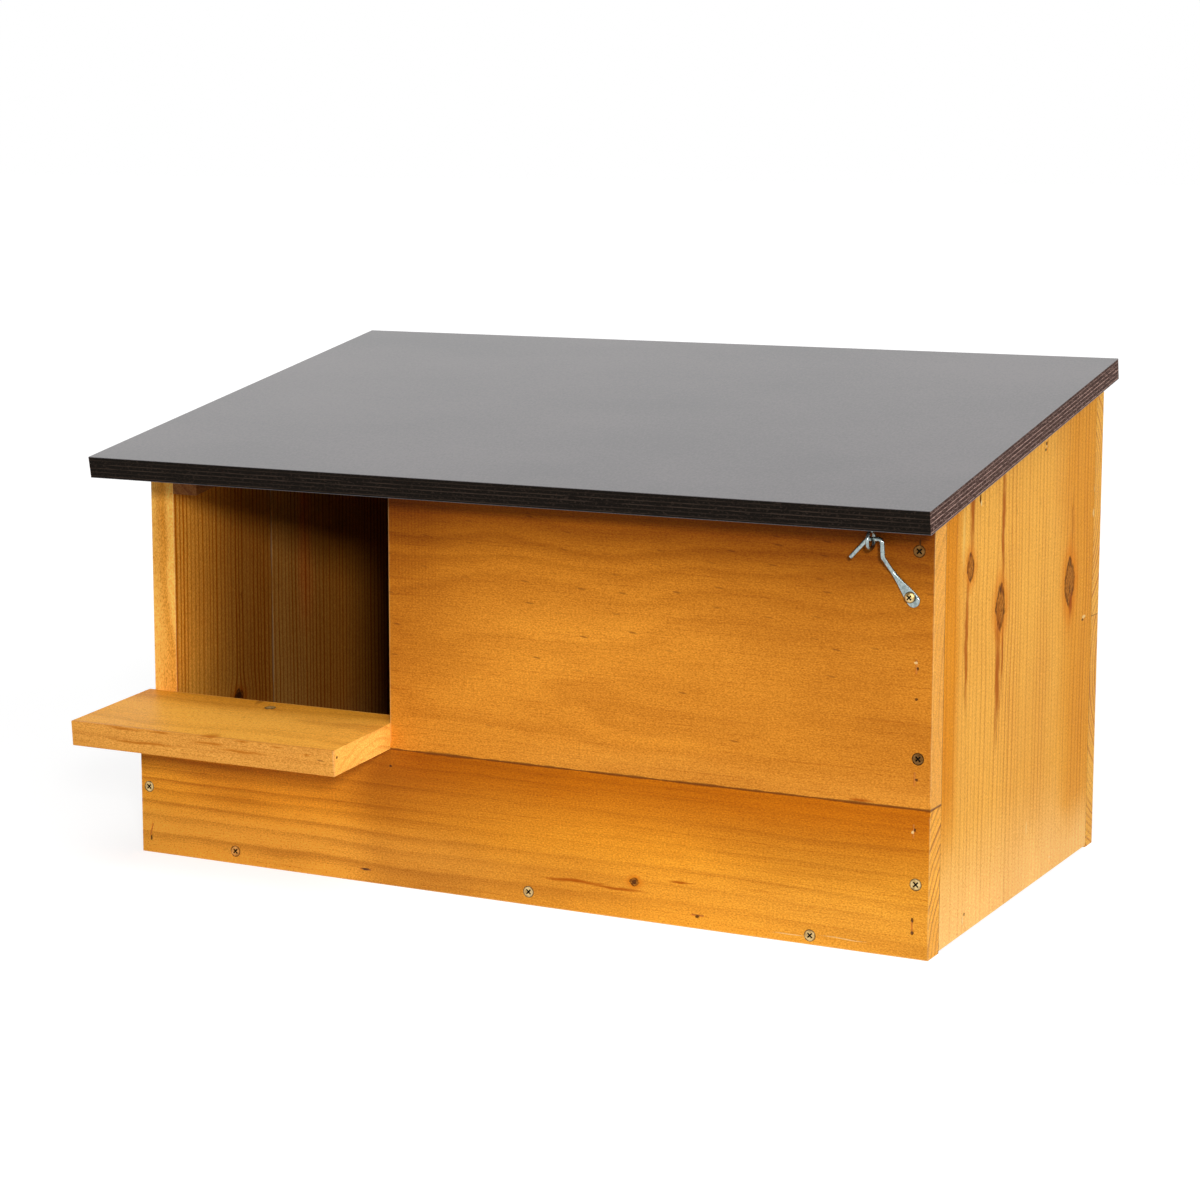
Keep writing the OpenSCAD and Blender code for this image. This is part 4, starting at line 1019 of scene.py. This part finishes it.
def bent_path(corners, radius, step=0.25):
    """Points every step along straight runs joined by arcs of the given radius, which touch both runs."""
    corners = np.array(corners, float)
    points = [corners[0]]
    for before, here, after in zip(corners[:-2], corners[1:-1], corners[2:]):
        back, on = before - here, after - here
        back, on = back / np.linalg.norm(back), on / np.linalg.norm(on)
        half = math.acos(float(np.clip(back @ on, -1, 1))) / 2
        centre = here + (back + on) / np.linalg.norm(back + on) * radius / math.sin(half)
        first = here + back * radius / math.tan(half) - centre
        second = here + on * radius / math.tan(half) - centre
        sweep = np.linspace(0, 1, 24)[:, None]
        arc = math.pi - 2 * half
        turned = (np.sin((1 - sweep) * arc) * first + np.sin(sweep * arc) * second) / math.sin(arc)
        points.extend(centre + turned)
    points.append(corners[-1])
    points = np.array(points)
    length = np.concatenate(([0], np.cumsum(np.linalg.norm(np.diff(points, axis=0), axis=1))))
    places = np.linspace(0, length[-1], int(length[-1] / step) + 1)
    return np.stack([np.interp(places, length, points[:, axis]) for axis in range(3)], axis=1), places


def swept(path, outward, half_across, half_out, squareness=2.0, sides=SIDES_ROUND):
    """Each ring is a superellipse: |across / a|^e + |out / b|^e = 1, square to the path."""
    along = np.gradient(path, axis=0)
    along /= np.linalg.norm(along, axis=1)[:, None]
    out = outward - along * (along @ np.array(outward, float))[:, None]
    out /= np.linalg.norm(out, axis=1)[:, None]
    across = np.cross(along, out)
    angle = np.linspace(0, 2 * math.pi, sides, endpoint=False)[None, :]
    power = 2 / np.broadcast_to(squareness, len(path))[:, None]
    a = np.sign(np.cos(angle)) * np.abs(np.cos(angle)) ** power * np.asarray(half_across)[:, None]
    b = np.sign(np.sin(angle)) * np.abs(np.sin(angle)) ** power * np.asarray(half_out)[:, None]
    return path[:, None, :] + a[..., None] * across[:, None, :] + b[..., None] * out[:, None, :]


def closed_tube(name, grid, material, body, replaced):
    """Skins a grid of rings, closes both ends with a point, and lets the piece stand for its CAD solid."""
    rings, sides = grid.shape[:2]
    points = np.concatenate((grid.reshape(-1, 3), grid[[0, -1]].mean(axis=1))) * MM
    row, column = np.meshgrid(np.arange(rings - 1), np.arange(sides), indexing="ij")
    here, beside = row * sides + column, row * sides + (column + 1) % sides
    quads = np.stack((here, beside, beside + sides, here + sides), axis=-1).reshape(-1, 4)
    turn_round = np.arange(sides)
    following = (turn_round + 1) % sides
    last = (rings - 1) * sides
    start_cap = np.stack((np.full(sides, rings * sides), following, turn_round), axis=1)
    end_cap = np.stack((np.full(sides, rings * sides + 1), last + turn_round, last + following), axis=1)
    mesh = bpy.data.meshes.new(name)
    mesh.from_pydata(points.tolist(), [], quads.tolist() + start_cap.tolist() + end_cap.tolist())
    corner = points[np.concatenate((quads[:, :3], quads[:, [0, 2, 3]], start_cap, end_cap))]
    if np.einsum("ij,ij->i", corner[:, 0], np.cross(corner[:, 1], corner[:, 2])).sum() < 0:
        mesh.flip_normals()
    mesh.polygons.foreach_set("use_smooth", np.ones(len(mesh.polygons), bool))
    mesh.materials.append(material)
    piece = bpy.data.objects.new(name, mesh)
    scene.collection.objects.link(piece)
    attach(piece, body)
    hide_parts(replaced)
    print(name, len(mesh.polygons), "faces")


# %% [markdown]
# The hook starts as a round-ended blade on its screw, 1.8 mm thick and lying almost on the board. It narrows
# to a neck, rises clear of the board as a 3 mm wire, and turns left through the eye. Its end hangs down left
# of the eye, so the roof can't lift until the hook is turned away.

# %% The latch hook
PIVOT, BLADE_ANGLE = np.array((285, -169, 229.47)), math.radians(128.7)
WIRE, BLADE, BLADE_PAST_SCREW, BLADE_OFF_BOARD = 1.5, 4.25, 2.8, 1.2
BEND_RADIUS, TIP = 2.6, 0.45
blade_way = np.array((math.cos(BLADE_ANGLE), 0, math.sin(BLADE_ANGLE)))
blade_end = PIVOT - blade_way * (BLADE_PAST_SCREW + BLADE) + (0, -BLADE_OFF_BOARD, 0)
bends = [(-11.63, 14.52, 1.95), (-16.2, 24.3, 8), (-17.0, 35.8, 8), (-26.5, 35.2, 8), (-37.7, 23.0, 8)]
corners = [blade_end] + [PIVOT + (x, -out, z) for x, z, out in bends]
hook_path, run = bent_path(corners, BEND_RADIUS)
round_end = BLADE * np.sqrt(np.clip(1 - (1 - run / BLADE).clip(0) ** 2, 0.02, 1))
narrowing = np.interp(run, [0, BLADE, 7.5, 18, 24, 28], [BLADE, BLADE, 4.1, 2.2, 1.6, WIRE])
half_across = np.minimum(round_end, narrowing)
half_out = np.interp(run, [0, 0.3, 12, 22, 26], [0.5, 0.9, 0.9, 1.25, WIRE])
squareness = np.interp(run, [0, 14, 24], [5.0, 4.0, 2.0])
to_tip = run[-1] - run
tip = np.sqrt(np.clip(1 - ((TIP - to_tip).clip(0) / TIP) ** 2, 0, 1)) * 0.3 + 0.7
closed_tube("latch_hook_wire", swept(hook_path, (0, -1, 0), half_across * tip, half_out * tip, squareness),
            zinc, "hook", "latch_hook")
print("hook's wire is", round(float(run[-1]), 1), "mm long")

# %% [markdown]
# The screw eye is bent from one wire: a threaded stem, a short shoulder, and a ring that comes round until
# its cut end nearly meets the stem. A thread could be a helix cut into a rod, but that is a separate mesh
# to join. Here it is a wave on the stem's radius that climbs by one pitch a turn, so the eye stays one
# closed surface.

# %% The screw eye
EYE_CENTRE, EYE_RING, EYE_WIRE = np.array((260.6, -177, 264.27)), 5.7, 1.2
UP_TO_ROOF, IN_ROOF, EYE_STEM, SHOULDER = 14.1, 12, 1.5, 2.0
THREAD_END, THREAD_PITCH, THREAD_DEPTH = 15.5, 1.4, 0.32
stem_way = np.array((0, -math.sin(ROOF_SLOPE), math.cos(ROOF_SLOPE)))
cross_way = np.cross((1, 0, 0), stem_way)
stem_top = EYE_CENTRE + stem_way * (UP_TO_ROOF + IN_ROOF)
turn_angle = np.radians(np.linspace(90 - 8, 90 - 338, 90))[:, None]
loop = EYE_CENTRE + EYE_RING * (np.cos(turn_angle) * cross_way + np.sin(turn_angle) * stem_way)
stem_foot = EYE_CENTRE + stem_way * (EYE_RING + SHOULDER)
stem = stem_top + (stem_foot - stem_top) * np.linspace(0, 1, 150)[:, None]
eye_path = np.concatenate((stem, loop[3:]))
eye_run = np.concatenate(([0], np.cumsum(np.linalg.norm(np.diff(eye_path, axis=0), axis=1))))
angle = np.linspace(0, 2 * math.pi, SIDES_ROUND, endpoint=False)
thread = 0.5 + 0.5 * np.cos(angle[None, :] - eye_run[:, None] * 2 * math.pi / THREAD_PITCH)
depth = THREAD_DEPTH * np.clip(THREAD_END - eye_run, 0, 1)[:, None] * thread
thick = np.interp(eye_run, [0, 2.2, THREAD_END, THREAD_END + 4.5], [0.25, EYE_STEM, EYE_STEM, EYE_WIRE])
eye_grid = swept(eye_path, (1, 0, 0), thick, thick)
eye_grid = eye_path[:, None, :] + (eye_grid - eye_path[:, None, :]) * (1 - depth / thick[:, None])[..., None]
closed_tube("screw_eye_wire", eye_grid, zinc, "roof", "screw_eye")
print("eye's wire is", round(float(eye_run[-1]), 1), "mm long")

# %% [markdown]
# ## Floor and light
# The photograph is a studio picture on white. The world is plain white where the camera, a reflection or
# glass looks at it, but lights the box with a plain level of its own. A soft key light from the front right
# throws the roof's shadow on the board under it and on the wall inside the entrance. A second one lights
# the right side, and a third one the roof. The floor is pale, and a glow of its own brings it up to white
# for the camera. Away from the box it is all glow. Near the box the rest is lit by the lamps, so the box
# keeps a soft, pale shadow.

# %% World
AMBIENT = 0.12
world = bpy.data.worlds.new("studio")
world.use_nodes = True
scene.world = world
tree = world.node_tree
path_kind = tree.nodes.new("ShaderNodeLightPath").outputs


def looked_at(tree, path_kind):
    """1 for camera, glossy and transmission rays, otherwise 0."""
    either = calc(tree, "MAXIMUM", path_kind["Is Camera Ray"], path_kind["Is Glossy Ray"])
    return calc(tree, "MAXIMUM", either, path_kind["Is Transmission Ray"])


strength = calc(tree, "MULTIPLY_ADD", looked_at(tree, path_kind), 1 - AMBIENT, AMBIENT)
tree.nodes["Background"].inputs["Color"].default_value = (1, 1, 1, 1)
plug(tree, tree.nodes["Background"].inputs["Strength"], strength)
print("world ready")

# %% [markdown]
# The floor is one wide square, far larger than the picture, so that its edge is never seen. A shadow catcher
# could give a white ground as well, but it needs the renderer's film settings. Here the material does it.

# %% Floor
FLOOR_GREY, FLOOR_SHARE, FLOOR_LIGHT, NEARLY_WHITE = 0.6, 0.6, 0.84, 1.1
FLOOR_REACH = 30.0
around = [(x * FLOOR_REACH, y * FLOOR_REACH, 0) for x, y in ((-1, -1), (1, -1), (1, 1), (-1, 1))]
floor_mesh = bpy.data.meshes.new("floor")
floor_mesh.from_pydata(around, [], [(0, 1, 2, 3)])
floor = bpy.data.objects.new("floor", floor_mesh)
scene.collection.objects.link(floor)
floor_material, tree, shader = new_material("pale_floor")
shader.inputs["Base Color"].default_value = (FLOOR_GREY, FLOOR_GREY, FLOOR_GREY, 1)
shader.inputs["Roughness"].default_value = 1.0
shader.inputs["Specular IOR Level"].default_value = 0.0
distance = vector_calc(tree, "LENGTH", tree.nodes.new("ShaderNodeTexCoord").outputs["Object"])
share = ramp(tree, distance, 1.3, 0.7, 0.0, FLOOR_SHARE)
lit = calc(tree, "MULTIPLY", share, FLOOR_GREY * FLOOR_LIGHT)
rest = calc(tree, "SUBTRACT", 1.0, share)
missing = calc(tree, "SUBTRACT", NEARLY_WHITE, lit)
glow = add_node(tree, "ShaderNodeEmission", Strength=calc(tree, "DIVIDE", missing, rest))
glow_share = calc(tree, "MULTIPLY", looked_at(tree, tree.nodes.new("ShaderNodeLightPath").outputs), rest)
half_glow = add_node(tree, "ShaderNodeMixShader", Fac=glow_share)
plug(tree, half_glow.inputs[1], shader.outputs[0])
plug(tree, half_glow.inputs[2], glow.outputs[0])
plug(tree, tree.nodes["Material Output"].inputs["Surface"], half_glow.outputs[0])
floor_mesh.materials.append(floor_material)
print("floor ready")

# %% [markdown]
# Three square lamps stand round the box, as soft boxes do in a studio. Each is placed by its angle round the
# box, its height angle and its distance. The key lamp is the smallest, because a small lamp gives a shadow
# with an edge: the roof's shadow on the front needs one. The other two are large and fill in softly.

# %% Lamps
AIMED_AT = Vector((0, 0, 0.15))


def soft_lamp(name, azimuth, elevation, distance, size, level):
    """A square lamp that faces the box. At level 1 a white surface that faces it renders as plain white."""
    a, e = math.radians(azimuth), math.radians(elevation)
    way = Vector((math.sin(a) * math.cos(e), -math.cos(a) * math.cos(e), math.sin(e)))
    lamp = bpy.data.lights.new(name, "AREA")
    lamp.size = size
    lamp.energy = math.pi**2 * distance**2 * level
    holder = bpy.data.objects.new(name, lamp)
    holder.location = AIMED_AT + way * distance
    holder.rotation_euler = way.to_track_quat("Z", "Y").to_euler()
    scene.collection.objects.link(holder)


soft_lamp("key", azimuth=32, elevation=16.5, distance=3.4, size=0.36, level=0.5)
soft_lamp("side", azimuth=84, elevation=20, distance=3.2, size=2.0, level=0.25)
soft_lamp("top", azimuth=30, elevation=60, distance=3.4, size=2.4, level=0.58)
